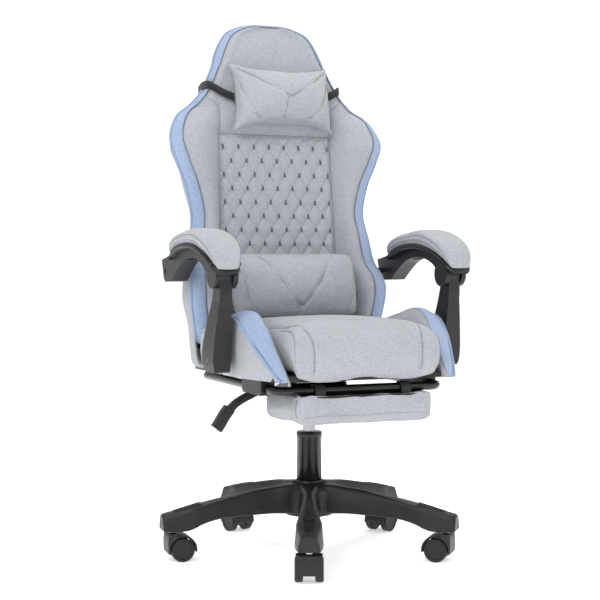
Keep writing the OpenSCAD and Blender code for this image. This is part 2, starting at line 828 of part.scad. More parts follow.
module arm_pad() {
    half = arm_pad_w / 2;
    top = smooth([[95, 656], [82, 673], [40, 689], [-20, 698], [-70, 702], [-112, 696], [-150, 680], [-178, 659],
        [-191, 643]]);
    plan = concat(
        smooth([[half - 14, -192], [half - 4, -178], [half, -130], [half, -40], [half - 3, 60], [half - 10, 90],
            [half - 20, 98]]));
    ends = [for (p = plan) [arm_x + p.x, p.y]];
    color(fabric) intersection() {
        side_slab(concat(top, pad_underside(0)), arm_x - half - 1, arm_x + half + 1);
        linear_extrude(800) polygon(concat(ends, [for (p = backwards(ends)) [2 * arm_x - p.x, p.y]]));
    }
}

module arm_pad_left() { on_side(1) arm_pad(); }
module arm_pad_right() { on_side(-1) arm_pad(); }

// ---- Drawing ----

for (i = [1:5]) {
    caster_hood(i - 1);
    caster_pins(i - 1);
    caster_wheels(i - 1);
}
star_base();
gas_lift_tube();
column_collar();
guide_bush();
piston_rod();
thrust_bearing();
gas_cylinder();
tilt_housing();
tilt_pin();
tension_spring();
tension_knob();
lift_lever();
lever_boot();
mechanism_plate();
seat_board();
seat_cushion();
seat_wing_left();
seat_wing_right();
seat_bolts();
arm_seat_bolts();
rail_guides();
recliner_brackets();
footrest_rail_left();
footrest_rail_right();
footrest_bar();
footrest_board();
footrest_pad();
footrest_clips();
recliner_arms();
recline_lever();
back_frame();
back_shell();
back_cushion();
back_bolster_left();
back_bolster_right();
head_cushion();
head_pillow();
head_strap();
lumbar_pillow();
arm_upright_left();
arm_upright_right();
arm_bracket_left();
arm_bracket_right();
arm_pad_left();
arm_pad_right();
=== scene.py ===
"""Look of the reclining gaming chair: soft pieces, trim, finishes, light and camera."""

import math

import bmesh
import bpy
import numpy as np
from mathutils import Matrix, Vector, noise
from mathutils.bvhtree import BVHTree


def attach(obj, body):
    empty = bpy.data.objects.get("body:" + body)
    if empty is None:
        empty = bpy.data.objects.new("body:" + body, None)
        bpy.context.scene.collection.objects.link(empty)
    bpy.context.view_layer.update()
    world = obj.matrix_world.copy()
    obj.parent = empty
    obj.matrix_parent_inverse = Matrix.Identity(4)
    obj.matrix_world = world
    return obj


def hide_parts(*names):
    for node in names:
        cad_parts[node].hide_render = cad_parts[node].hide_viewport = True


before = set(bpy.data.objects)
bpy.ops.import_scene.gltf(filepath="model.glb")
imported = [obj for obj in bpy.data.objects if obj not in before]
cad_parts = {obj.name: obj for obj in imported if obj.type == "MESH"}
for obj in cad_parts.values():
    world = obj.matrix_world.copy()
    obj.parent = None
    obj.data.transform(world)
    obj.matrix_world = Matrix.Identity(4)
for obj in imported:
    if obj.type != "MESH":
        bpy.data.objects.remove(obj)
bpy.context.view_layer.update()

# ---- Main sizes, in millimetres ----
# The back's height and widths are those of its visible outline, which is a little smaller than the CAD's.

MM = 0.001
RECLINE_Y, RECLINE_Z = 176.0, 440.0
LEAN = math.radians(11.3)
PLANE_GAP = 61.8
PAD_BACK, HEAD_FACE = -26.0, 28.0
SIDES = (("left", 1), ("right", -1))
BACK_H, SHOULDER_W, WAIST_W, HIP_W, HEAD_W = 742.0, 514.0, 420.0, 468.0, 270.0
PANEL_LOW, PANEL_BEND, PANEL_HIGH = 50.0, 219.0, 478.0
PANEL_W, PANEL_DEEP, PANEL_SHALLOW = 274.0, -14.0, 11.0
ARM_X = 262.0
SEAT_FLOOR = 400.0


# ---- Curves and meshes, in millimetres ----

def ease(t):
    """Goes smoothly from 0 to 1 as t does, and stays there outside that range."""
    t = np.clip(t, 0.0, 1.0)
    return t * t * (3 - 2 * t)


def smooth_curve(points, steps=8):
    """A smooth open curve through the points, of any dimension."""
    p = np.array(points, float)
    last = len(p) - 1
    t = (np.arange(steps) / steps)[:, None]
    parts = []
    for i in range(last):
        a, b, c, d = p[max(i - 1, 0)], p[i], p[i + 1], p[min(i + 2, last)]
        parts.append(0.5 * (2 * b + (c - a) * t + (2 * a - 5 * b + 4 * c - d) * t ** 2
                            + (3 * b - a - 3 * c + d) * t ** 3))
    return np.vstack(parts + [p[last:]])


def on_back(x, w, v):
    """World place of a point of the back: x across, w forward of the piping plane, v up the back."""
    y = -(PLANE_GAP + w)
    return (x, RECLINE_Y + y * math.cos(LEAN) + v * math.sin(LEAN),
            RECLINE_Z - y * math.sin(LEAN) + v * math.cos(LEAN))


RIBBON_CORNERS = ((-1, -0.6), (-0.94, -1), (0.94, -1), (1, -0.6),
                  (1, 0.6), (0.94, 1), (-0.94, 1), (-1, 0.6))


class Shape:
    """Points in millimetres and faces that grow piece by piece and become one object."""

    def __init__(self):
        self.points = []
        self.faces = []

    def loft(self, rings, caps=True):
        """Joins closed rings of equal length, and closes both ends."""
        start = len(self.points)
        count = len(rings[0])
        for ring in rings:
            self.points.extend(tuple(map(float, p)) for p in ring)
        for i in range(len(rings) - 1):
            for k in range(count):
                a = start + i * count + k
                b = start + i * count + (k + 1) % count
                self.faces.append((a, b, b + count, a + count))
        if caps:
            end = start + (len(rings) - 1) * count
            self.faces.append(tuple(start + k for k in reversed(range(count))))
            self.faces.append(tuple(end + k for k in range(count)))
        return self

    def tube(self, path, radius, sides=8, closed=False):
        """A round tube along a path. The radius may be a number or one number per point."""
        path = [Vector(p) for p in path]
        count = len(path)
        radii = np.broadcast_to(np.array(radius, float), (count,)).tolist()
        across = None
        rings = []
        for i, point in enumerate(path):
            ahead = path[(i + 1) % count] if closed else path[min(i + 1, count - 1)]
            behind = path[i - 1] if closed or i else path[0]
            along = (ahead - behind).normalized()
            if across is None:
                across = along.orthogonal().normalized()
            across = (across - along * across.dot(along)).normalized()
            side = along.cross(across)
            rings.append([point + radii[i] * (math.cos(a) * across + math.sin(a) * side)
                          for a in np.linspace(0, 2 * math.pi, sides, endpoint=False)])
        if closed:
            rings.append(rings[0])
        return self.loft(rings, caps=not closed)

    def turned(self, profile, place, sides=32):
        """Turns (radius, height) points about an axis. place(x, y, height) gives the world point."""
        angles = np.linspace(0, 2 * math.pi, sides, endpoint=False)
        return self.loft([[place(r * math.cos(a), r * math.sin(a), h) for a in angles] for r, h in profile])

    def ribbon(self, path, across, width, thickness):
        """A flat strap along a path. across gives the direction of its width at each point."""
        path = [Vector(p) for p in path]
        rings = []
        for i, point in enumerate(path):
            along = (path[min(i + 1, len(path) - 1)] - path[max(i - 1, 0)]).normalized()
            wide = Vector(across[i]).normalized()
            out = along.cross(wide).normalized()
            rings.append([point + wide * (a * width / 2) + out * (b * thickness / 2)
                          for a, b in RIBBON_CORNERS])
        return self.loft(rings)

    def build(self, name):
        mesh = bpy.data.meshes.new(name)
        mesh.from_pydata([tuple(c * MM for c in p) for p in self.points], [], self.faces)
        form = bmesh.new()
        form.from_mesh(mesh)
        bmesh.ops.remove_doubles(form, verts=form.verts, dist=1e-6)
        bmesh.ops.recalc_face_normals(form, faces=form.faces)
        form.to_mesh(mesh)
        form.free()
        mesh.polygons.foreach_set("use_smooth", [True] * len(mesh.polygons))
        return new_object(name, mesh)


def new_object(name, data):
    """An object in the scene that shows a mesh, a lamp or a camera."""
    item = bpy.data.objects.new(name, data)
    bpy.context.scene.collection.objects.link(item)
    return item


def finish_piece(piece, material, body, replaces=()):
    """Gives a new piece its material and body, and hides the CAD parts it stands for."""
    piece.data.materials.clear()
    piece.data.materials.append(material)
    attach(piece, body)
    if replaces:
        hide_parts(*replaces)
    return piece


def bevelled(piece, width, angle=32):
    """Rounds the sharp edges of a piece, so that they catch the light."""
    modify(piece, "WELD", merge_threshold=0.02 * MM)
    modify(piece, "BEVEL", width=width * MM, segments=2, limit_method="ANGLE",
           angle_limit=math.radians(angle), harden_normals=True)
    return piece


def coordinates(mesh):
    """The points of a mesh, one row each, in metres."""
    flat = np.empty(len(mesh.vertices) * 3)
    mesh.vertices.foreach_get("co", flat)
    return flat.reshape(-1, 3)


def move_points(mesh, places):
    """Puts the points of a mesh at new places."""
    mesh.vertices.foreach_set("co", places.astype(np.float32).ravel())
    mesh.update()


def normals(mesh):
    """The outward direction at each point of a mesh."""
    flat = np.empty(len(mesh.vertices) * 3, np.float32)
    mesh.vertex_normals.foreach_get("vector", flat)
    return flat.reshape(-1, 3).astype(float)


def bake_modifiers(piece):
    """Replaces a piece's mesh by what its modifiers make of it."""
    bpy.context.view_layer.update()
    mesh = bpy.data.meshes.new_from_object(piece.evaluated_get(bpy.context.evaluated_depsgraph_get()))
    piece.modifiers.clear()
    piece.data = mesh
    return piece


def modify(piece, kind, **settings):
    """Adds a modifier with the given settings."""
    modifier = piece.modifiers.new(kind.title(), kind)
    for key, value in settings.items():
        setattr(modifier, key, value)
    return modifier


# ---- Soft shapes ----

SWELL_FRAMES = 20
PRESSURE = 4.0


def swell(piece, cap):
    """Blows a closed mesh up as cloth under pressure. No point moves further than cap millimetres."""
    scene = bpy.context.scene
    rest = coordinates(piece.data)
    cloth = piece.modifiers.new("Swell", "CLOTH")
    cloth.settings.use_pressure = True
    cloth.settings.uniform_pressure_force = PRESSURE
    cloth.settings.effector_weights.gravity = 0
    cloth.point_cache.frame_start = 1
    cloth.point_cache.frame_end = SWELL_FRAMES
    for step in range(1, SWELL_FRAMES + 1):
        scene.frame_set(step)
    swollen = coordinates(piece.evaluated_get(bpy.context.evaluated_depsgraph_get()).data)
    piece.modifiers.remove(cloth)
    scene.frame_set(1)
    move = swollen - rest
    length = np.maximum(np.linalg.norm(move, axis=1, keepdims=True), 1e-9)
    move_points(piece.data, rest + move * np.minimum(1.0, cap * MM / length))
    return piece


def soften(piece, voxel=5.0, shrink=3.0, rounding=10, cap=8.0):
    """Rounds and swells a closed mesh, and makes it dense enough for seams."""
    modify(piece, "REMESH", mode="VOXEL", voxel_size=voxel * MM)
    bake_modifiers(piece)
    move_points(piece.data, coordinates(piece.data) - normals(piece.data) * shrink * MM)
    modify(piece, "SMOOTH", factor=0.6, iterations=rounding)
    bake_modifiers(piece)
    swell(piece, cap)
    modify(piece, "SMOOTH", factor=0.5, iterations=3)
    modify(piece, "SUBSURF", levels=1, render_levels=1)
    bake_modifiers(piece)
    piece.data.polygons.foreach_set("use_smooth", [True] * len(piece.data.polygons))
    return piece


def soft_copy(node, name, **settings):
    """A softened copy of a soft CAD solid."""
    return soften(new_object(name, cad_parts[node].data.copy()), **settings)


def rumple(piece, height, size, seed=0.0):
    """Soft random hollows and bumps of the given height and size, in millimetres."""
    places = coordinates(piece.data)
    shift = Vector((seed, 2 * seed, -seed))
    lift = np.array([noise.fractal(Vector(p) / (size * MM) + shift, 0.6, 2.0, 2) for p in places])
    move_points(piece.data, places + normals(piece.data) * (lift * height * MM)[:, None])
    return piece


def distance_along(places, path):
    """For each place, its distance to the path and how far along the path the nearest point is."""
    best = np.full(len(places), 1e9)
    along = np.zeros(len(places))
    travelled = 0.0
    for a, b in zip(path[:-1], path[1:]):
        step = b - a
        length = np.linalg.norm(step)
        if length < 1e-9:
            continue
        t = np.clip(((places - a) @ step) / length ** 2, 0, 1)
        gap = np.linalg.norm(places - (a + t[:, None] * step), axis=1)
        nearer = gap < best
        best[nearer] = gap[nearer]
        along[nearer] = travelled + t[nearer] * length
        travelled += length
    return best, along


def surface_of(piece):
    """A search tree over the faces of a piece."""
    form = bmesh.new()
    form.from_mesh(piece.data)
    tree = BVHTree.FromBMesh(form)
    form.free()
    return tree


def settle(piece, points, steps=12):
    """A smooth curve brought onto a piece's surface: its places, and the surface's directions there."""
    tree = surface_of(piece)
    places, outward = [], []
    for p in smooth_curve(points, steps):
        place, normal, _, _ = tree.find_nearest(Vector(p) * MM)
        places.append(tuple(place))
        outward.append(tuple(normal))
    places, outward = np.array(places), np.array(outward)
    for _ in range(6):
        places[1:-1] = 0.5 * places[1:-1] + 0.25 * (places[:-2] + places[2:])
        outward[1:-1] = 0.5 * outward[1:-1] + 0.25 * (outward[:-2] + outward[2:])
    return places, outward / np.linalg.norm(outward, axis=1, keepdims=True)


def lay_on(piece, points, lift=0.0):
    """A smooth curve on a piece's surface, lifted off it, in millimetres."""
    places, outward = settle(piece, points)
    return places / MM + outward * lift


def sew(piece, lines, thread, width=7.0, depth=4.0, pucker=0.3, radius=0.45):
    """Pulls puckered grooves into a piece along lines near its surface, and adds a thread to each."""
    settled = [settle(piece, line) for line in lines]
    for path, _ in settled:
        places = coordinates(piece.data)
        gap, along = distance_along(places, path)
        groove = np.exp(-(gap / (width * MM)) ** 2) * depth
        folds = np.sin(along / MM * 2 * math.pi / 11) * np.exp(-(gap / (2.2 * width * MM)) ** 2) * pucker
        move_points(piece.data, places - normals(piece.data) * ((groove + folds) * MM)[:, None])
    for path, outward in settled:
        thread.tube(path / MM - outward * (0.76 * depth - 0.3 * radius), radius, 6)


def stitches(shape, path, length=4.0, gap=3.0, radius=0.55):
    """Separate stitches along a path in millimetres."""
    path = np.array(path, float)
    steps = np.linalg.norm(np.diff(path, axis=0), axis=1)
    travelled = np.concatenate([[0], np.cumsum(steps)])
    start = 0.0
    while start + length < travelled[-1]:
        at = [start, start + 0.25 * length, start + 0.75 * length, start + length]
        points = [[np.interp(s, travelled, path[:, axis]) for axis in range(3)] for s in at]
        shape.tube(points, [0.4 * radius, radius, radius, 0.4 * radius], 6)
        start += length + gap


# ---- Finishes ----

def paint(red, green, blue):
    """A colour of 0 to 255 per channel, as the shader wants it."""
    return tuple(((c / 255 + 0.055) / 1.055) ** 2.4 for c in (red, green, blue)) + (1.0,)


class Finish:
    """A material whose colour, roughness and relief come from nodes."""

    def __init__(self, name, **fixed):
        self.material = bpy.data.materials.new(name)
        self.material.use_nodes = True
        self.nodes = self.material.node_tree.nodes
        self.links = self.material.node_tree.links
        self.shader = self.nodes["Principled BSDF"]
        for key, value in fixed.items():
            self.shader.inputs[key.replace("_", " ")].default_value = value
        self.place = self.nodes.new("ShaderNodeTexCoord").outputs["Object"]

    def add(self, kind, settings, *values):
        node = self.nodes.new("ShaderNode" + kind)
        for key, value in settings.items():
            setattr(node, key, value)
        for socket, value in zip(node.inputs, values):
            if isinstance(value, bpy.types.NodeSocket):
                self.links.new(value, socket)
            elif value is not None:
                socket.default_value = value
        return node

    def math(self, operation, *values):
        return self.add("Math", {"operation": operation}, *values).outputs[0]

    def grain(self, scale, detail=2.0, stretch=(1, 1, 1)):
        """Noise of about the given number of blotches per metre."""
        size = Vector(stretch) * scale
        place = self.add("VectorMath", {"operation": "MULTIPLY"}, self.place, size).outputs[0]
        node = self.nodes.new("ShaderNodeTexNoise")
        self.links.new(place, node.inputs["Vector"])
        node.inputs["Scale"].default_value = 1.0
        node.inputs["Detail"].default_value = detail
        return node.outputs[0]

    def waves(self, direction, pitch):
        """Waves across a direction, with the pitch in millimetres."""
        turn = Vector(direction) * (2 * math.pi / (pitch * MM))
        along = self.add("VectorMath", {"operation": "DOT_PRODUCT"}, self.place, turn).outputs["Value"]
        return self.math("SINE", along)

    def blend(self, *weighted):
        """The weighted sum of (value, weight) pairs."""
        total = None
        for value, weight in weighted:
            part = self.math("MULTIPLY", value, weight)
            total = part if total is None else self.math("ADD", total, part)
        return total

    def ramp(self, value, *stops):
        node = self.add("ValToRGB", {}, value)
        line = node.color_ramp
        while len(line.elements) < len(stops):
            line.elements.new(0.5)
        for element, (position, tone) in zip(line.elements, stops):
            element.position = position
            element.color = tone
        return node.outputs[0]

    def coloured(self, value, *stops):
        self.links.new(self.ramp(value, *stops), self.shader.inputs["Base Color"])
        return self

    def rough(self, value, low, high):
        node = self.add("MapRange", {}, value, 0.25, 0.75, low, high)
        self.links.new(node.outputs[0], self.shader.inputs["Roughness"])
        return self

    def relief(self, value, height, strength=1.0):
        """Bump from a value, with its height in millimetres."""
        node = self.nodes.new("ShaderNodeBump")
        node.inputs["Distance"].default_value = height * MM
        node.inputs["Strength"].default_value = strength
        self.links.new(value, node.inputs["Height"])
        self.links.new(node.outputs[0], self.shader.inputs["Normal"])
        return self


def woven(name, dark, mid, light, pitch=2.2, sheen=0.2):
    """A heathered twill. Its diagonal threads run across any face, so it needs no unwrapping."""
    finish = Finish(name, Sheen_Weight=sheen, Sheen_Roughness=0.5, Specular_IOR_Level=0.2)
    twill = finish.waves((0.75, 0.35, 0.75), pitch)
    cross = finish.waves((0.75, 0.35, -0.75), pitch)
    weave = finish.math("MULTIPLY", twill, cross)
    fleck = finish.grain(640, 3.0)
    slub = finish.grain(260, 2.0, (0.5, 1.0, 1.8))
    cloud = finish.grain(9, 2.0)
    tone = finish.blend((fleck, 0.72), (slub, 0.20), (cloud, 0.08), (twill, 0.05), (weave, 0.03))
    finish.coloured(tone, (0.34, dark), (0.50, mid), (0.66, light))
    finish.rough(fleck, 0.82, 0.97)
    finish.relief(finish.blend((twill, 0.4), (weave, 0.3), (fleck, 0.8), (slub, 0.3)), 0.5)
    return finish.material


def corded(name, dark, light):
    """The tight diagonal weave of piping and thread."""
    finish = Finish(name, Sheen_Weight=0.2, Specular_IOR_Level=0.3)
    twist = finish.waves((0.7, 0.7, 0.7), 2.2)
    fleck = finish.grain(700, 2.0)
    tone = finish.blend((twist, 0.18), (fleck, 0.9))
    finish.coloured(tone, (0.25, dark), (0.65, light))
    finish.rough(fleck, 0.7, 0.9)
    finish.relief(finish.blend((twist, 0.5), (fleck, 0.3)), 0.4)
    return finish.material


def moulded(name, dark, light, low=0.38, high=0.55, pebble=1500):
    """Moulded plastic with a fine spark-eroded grain and faint scuffs."""
    finish = Finish(name, Specular_IOR_Level=0.45)
    pebbles = finish.grain(pebble, 2.0)
    cloud = finish.grain(24, 4.0)
    scuff = finish.grain(160, 5.0, (0.3, 1.0, 2.0))
    finish.coloured(finish.blend((cloud, 0.55), (scuff, 0.45)), (0.36, dark), (0.68, light))
    finish.rough(finish.blend((cloud, 0.5), (pebbles, 0.5)), low, high)
    finish.relief(finish.blend((pebbles, 0.8), (scuff, 0.15)), 0.16)
    return finish.material


def metal(name, dark, light, low, high, metallic=1.0, brushed=(1, 1, 30)):
    """Coated or polished metal with fine lines."""
    finish = Finish(name, Metallic=metallic)
    lines = finish.grain(90, 3.0, brushed)
    cloud = finish.grain(30, 3.0)
    finish.coloured(finish.blend((cloud, 0.6), (lines, 0.4)), (0.35, dark), (0.65, light))
    finish.rough(finish.blend((cloud, 0.5), (lines, 0.5)), low, high)
    finish.relief(lines, 0.008)
    return finish.material


def webbing(name):
    """Woven strap: ribs across its width and a fine thread."""
    finish = Finish(name, Sheen_Weight=0.2, Specular_IOR_Level=0.3)
    ribs = finish.waves((0, 0.5, 1), 2.6)
    cross = finish.waves((1, 0.6, 0), 1.6)
    fleck = finish.grain(700, 2.0)
    weave = finish.math("MULTIPLY", ribs, cross)
    tone = finish.blend((weave, 0.2), (fleck, 0.9))
    finish.coloured(tone, (0.3, paint(14, 14, 16)), (0.65, paint(44, 44, 48)))
    finish.rough(fleck, 0.65, 0.85)
    finish.relief(finish.blend((ribs, 0.6), (cross, 0.3)), 0.5)
    return finish.material


def stained_board(name):
    """Plywood painted dark, its grain still showing."""
    finish = Finish(name, Specular_IOR_Level=0.3)
    rings = finish.grain(26, 4.0, (0.25, 3.0, 6.0))
    pores = finish.grain(420, 3.0, (0.1, 1.0, 1.0))
    finish.coloured(finish.blend((rings, 0.7), (pores, 0.3)),
                    (0.3, paint(30, 28, 27)), (0.5, paint(44, 41, 39)), (0.7, paint(58, 54, 50)))
    finish.rough(pores, 0.6, 0.8)
    finish.relief(pores, 0.2)
    return finish.material


GREY_CLOTH = woven("grey_heather_cloth", paint(146, 149, 155), paint(171, 174, 180), paint(194, 197, 202))
BLUE_CLOTH = woven("powder_blue_cloth", paint(132, 150, 180), paint(155, 173, 203), paint(177, 193, 219))
# Painted shade: this dark blue colours only the thin tubes laid along the piping seams to stand in for their
# shadow.
SEAM_SHADE_BLUE = corded("painted_seam_shade_blue", paint(62, 84, 130), paint(92, 116, 166))
LIGHT_PIPING = corded("light_blue_piping", paint(126, 146, 178), paint(158, 177, 208))
THREAD = corded("grey_thread", paint(104, 109, 118), paint(130, 135, 144))
QUILT_THREAD = corded("quilting_thread", paint(106, 112, 124), paint(130, 136, 147))
DARK_THREAD = corded("slate_thread", paint(76, 83, 98), paint(100, 107, 121))
BLACK_PLASTIC = moulded("black_moulded_plastic", paint(15, 15, 17), paint(29, 29, 31), 0.34, 0.5)
WHEEL_NYLON = moulded("black_nylon", paint(17, 17, 19), paint(31, 31, 34), 0.42, 0.6, 900)
BLACK_STEEL = metal("black_powder_coat", paint(16, 16, 18), paint(24, 24, 26), 0.2, 0.27, 0.0, (1, 1, 1))
BRIGHT_STEEL = metal("zinc_plated_steel", paint(150, 152, 156), paint(190, 192, 196), 0.25, 0.42)
CHROME = metal("polished_cylinder", paint(146, 148, 152), paint(176, 178, 182), 0.16, 0.28)
BUSH_PLASTIC = moulded("ivory_plastic", paint(206, 200, 184), paint(226, 222, 208), 0.35, 0.5)
STRAP_WEB = webbing("black_webbing")
RUBBER = moulded("black_rubber", paint(20, 20, 21), paint(38, 38, 40), 0.6, 0.78, 700)
BOARD = stained_board("stained_plywood")

SLOT_FINISH = {
    "moulded_plastic": BLACK_PLASTIC, "wheel_nylon": WHEEL_NYLON, "black_steel": BLACK_STEEL,
    "bright_steel": BRIGHT_STEEL, "chrome": CHROME, "bush_plastic": BUSH_PLASTIC, "fabric": GREY_CLOTH,
    "accent_fabric": BLUE_CLOTH, "strap": STRAP_WEB, "boot_rubber": RUBBER, "board": BOARD,
}
for cad_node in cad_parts.values():
    slot_name = cad_node.data.materials[0].name.split(".")[0]
    cad_node.data.materials[0] = SLOT_FINISH[slot_name]

# ---- Back: outline and depth of its face ----


def half_outline(inset, tuck=0.0, drop=0.0, steps=8):
    """Half of the back's outline, as (x, v) from bottom to top centre. A drop lowers its corner."""
    hip, waist = HIP_W / 2 - inset, WAIST_W / 2 - inset - 0.35 * tuck
    shoulder, head = SHOULDER_W / 2 - inset - tuck, HEAD_W / 2 - inset - 0.7 * tuck
    low, high = inset - 30, BACK_H - inset - 0.5 * tuck
    return smooth_curve([
        (hip - 64, low), (hip - 50, low - drop), (hip - 28 + 0.8 * drop, low + 5 - drop),
        (hip - 19 + 0.6 * drop, 0), (hip - 8, 48), (hip, 98), (hip - 2, 141),
        (hip - 13, 181), (waist + 6, 241), (waist, 299), (waist + 14, 364), (shoulder - 12, 415),
        (shoulder, 462), (shoulder - 22, 513), (shoulder - 62, 547), (head + 32, 579), (head + 4, 634),
        (head - 6, high - 76), (0.82 * head, high - 40), (0.67 * head, high - 18), (0.34 * head, high - 2),
        (0, high)], steps)


def mirrored(points):
    """The points and then their mirror images in reverse order, without doubling the middle one."""
    points = np.array(points)
    other = points[::-1] * np.array([-1, 1])
    return np.vstack([points, other[1:] if abs(points[-1][0]) < 1e-6 else other])


def edge_face(x, v):
    """Depth of the back's edge: the wide parts flare forward, the hips most."""
    flare = np.interp(v, (20, 60, 120, 180, 260), (0.6, 1.0, 1.5, 1.3, 0.6))
    return np.maximum(0.0, flare * (np.abs(x) - WAIST_W / 2))


OUTLINE = half_outline(0)
BAND_STOPS = (0, 98, 300, 462, 579, 700, 746)
BAND_WIDTHS = (29, 29, 25, 23, 10, 9, 9)
BAND_RISES = (13, 13, 14, 18, 25, 26, 25)
BAND_WIDTH = np.interp(OUTLINE[:, 1], BAND_STOPS, BAND_WIDTHS)
BAND_RISE = np.interp(OUTLINE[:, 1], BAND_STOPS, BAND_RISES)
BAND_INNER = OUTLINE + (half_outline(1) - OUTLINE) * BAND_WIDTH[:, None]


def band_inner(v):
    """Half width of the back's face inside the band."""
    return float(np.interp(v, BAND_INNER[:, 1], BAND_INNER[:, 0]))


def band_top(v):
    """Depth of the band's inner edge."""
    x = float(np.interp(v, OUTLINE[:, 1], OUTLINE[:, 0]))
    return float(edge_face(x, v)) + float(np.interp(v, BAND_STOPS, BAND_RISES))


def panel_half(v):
    """Half width of the quilted panel, which widens towards the seat."""
    return PANEL_W / 2 + 10 * (PANEL_HIGH - v) / (PANEL_HIGH - PANEL_LOW)


def panel_face(v):
    """Depth of the middle of the back's face."""
    if v <= PANEL_HIGH:
        rise = (PANEL_SHALLOW - PANEL_DEEP) * max(0.0, v - PANEL_BEND) / (PANEL_HIGH - PANEL_BEND)
        return PANEL_DEEP + rise
    roll = float(ease((v - PANEL_HIGH) / 26)) ** 0.6
    return PANEL_SHALLOW + (HEAD_FACE - PANEL_SHALLOW) * roll - 7 * float(ease((v - 690) / 56))


SHOULDER_SEAM_LOW, SHOULDER_SEAM_HIGH = 538.0, 566.0


def middle_half(v):
    """Half width of the middle pieces: the quilted panel below and the head section above."""
    if v <= PANEL_HIGH:
        return panel_half(v)
    inner = band_inner(v)
    reach = float(ease((v - SHOULDER_SEAM_LOW) / (SHOULDER_SEAM_HIGH - SHOULDER_SEAM_LOW)))
    return PANEL_W / 2 + (inner - PANEL_W / 2) * reach


def side_face(x, v):
    """Depth of the face between the middle and the band."""
    a = min(PANEL_W / 2 if v > PANEL_HIGH else panel_half(v), band_inner(v) - 26)
    s = min(max((abs(x) - a) / (band_inner(v) - a), 0.0), 1.0)
    base, top = panel_face(v), band_top(v)
    fullness = 12 - 8 * float(ease((v - 440) / 90))
    return base + (top - base) * (1 - (1 - s) ** 2.0) + fullness * math.sin(math.pi * s)


def sunk(distance, depth=4.0, reach=7.0):
    """How far a surface is pulled in at a distance from its seam."""
    return depth * math.exp(-(max(distance, 0.0) / reach) ** 1.5)


# ---- Back: quilted panel ----

QUILT_HALF = 18.4
QUILT_ROW = 31.4
QUILT_TOP = PANEL_HIGH + 2.0
QUILT_PUFF = 6.5
QUILT_COLUMNS = 9
QUILT_THREAD_RADIUS = 0.85
TUFT_LIFT = 2.2
TUFT_STEPS = (5.0, 4.6, 0, -4.6, -5.0)
TUFT_RADII = (1.7, 2.3, 2.3, 2.3, 1.7)


def quilt_line(f):
    """Sideways travel of a stitched line over one row, from 0 to 1."""
    return 0.62 * f + 0.38 * (1 - math.cos(math.pi * f)) / 2


def quilt(x, v):
    """Height of the quilted diamonds over their stitched lines."""
    rows = (QUILT_TOP - v) / QUILT_ROW
    row = math.floor(rows)
    g = quilt_line(rows - row)
    y = (x / QUILT_HALF - row + 1) % 2 - 1
    if abs(y) <= g:
        half, c = g, abs(y) / max(g, 1e-6)
    else:
        half, c = 1 - g, (1 - abs(y)) / max(1 - g, 1e-6)
    return QUILT_PUFF * (max(0.0, 1 - c * c) ** 0.6) * half ** 0.62


def panel_surface(x, v):
    """Depth of the quilted panel's face."""
    half = panel_half(v)
    inside = min(half - abs(x), PANEL_HIGH - v)
    crown = 3.0 * (1 - (x / half) ** 2)
    return panel_face(v) + crown + quilt(x, v) * float(ease(inside / 14)) - sunk(inside)


def slab_rings(rows, surface, halves, columns, back=PAD_BACK):
    """Rings of a pad of the back: its face from -half to half at each height, and its flat rear."""
    rings = []
    for v in rows:
        xs = np.linspace(-halves(v), halves(v), columns)
        front = [on_back(x, surface(x, v), v) for x in xs]
        rear = [on_back(x, back, v) for x in xs[::-1][::12]] + [on_back(xs[0], back, v)]
        rings.append(front + rear)
    return rings


panel_rows = np.linspace(PANEL_LOW, PANEL_HIGH, 211)
panel = Shape().loft(slab_rings(panel_rows, panel_surface, panel_half, 141)).build("quilted_panel")
finish_piece(panel, GREY_CLOTH, "back", ["back_cushion"])

quilt_threads, quilt_tufts = Shape(), Shape()
quilt_rows = int((QUILT_TOP - PANEL_LOW) / QUILT_ROW)
for row in range(-1, quilt_rows + 1):
    for m in range(-QUILT_COLUMNS, QUILT_COLUMNS + 1):
        if (m + row) % 2:
            continue
        v = QUILT_TOP - row * QUILT_ROW
        x = m * QUILT_HALF
        if row >= 1 and abs(x) < panel_half(v) - 6:
            tuft_depth = panel_surface(x, v) + TUFT_LIFT
            quilt_tufts.tube([on_back(x, tuft_depth, v + step) for step in TUFT_STEPS], TUFT_RADII, 8)
        for side in (-1, 1):
            path = []
            for f in np.linspace(0, 1, 9):
                px, pv = x + side * QUILT_HALF * quilt_line(f), v - f * QUILT_ROW
                if abs(px) < panel_half(pv) - 3 and PANEL_LOW + 3 < pv < PANEL_HIGH - 3:
                    path.append(on_back(px, panel_surface(px, pv) + 0.15, pv))
            if len(path) > 2:
                quilt_threads.tube(path, QUILT_THREAD_RADIUS, 5)
finish_piece(quilt_threads.build("quilt_threads"), QUILT_THREAD, "back")
finish_piece(quilt_tufts.build("quilt_tufts"), DARK_THREAD, "back")

# ---- Back: head section and bolsters ----


def head_surface(x, v):
    """Depth of the head section's face."""
    inside = min(middle_half(v) - abs(x), v - PANEL_HIGH)
    return side_face(x, v) + 2.0 * (1 - (x / 140) ** 2) - sunk(inside, 3.5, 6.0)


HEAD_TOP = BAND_INNER[-9, 1]
head_rows = np.concatenate([np.linspace(PANEL_HIGH + 0.5, 700, 90), np.linspace(703, HEAD_TOP, 16)])
head = Shape().loft(slab_rings(head_rows, head_surface, middle_half, 73)).build("head_section")
finish_piece(head, GREY_CLOTH, "back", ["head_cushion"])


def bolster_inner(v):
    """Inner edge of a bolster: beside the seat it steps outward."""
    low = 178 + (panel_half(62) - 178) * float(ease((v - 40) / 26))
    return low if v < 66 else middle_half(v)


def bolster_surface(x, v):
    """Depth of a bolster's face."""
    inside = min(abs(x) - bolster_inner(v), band_inner(v) - abs(x))
    return side_face(x, v) - sunk(inside, 3.0, 6.0)


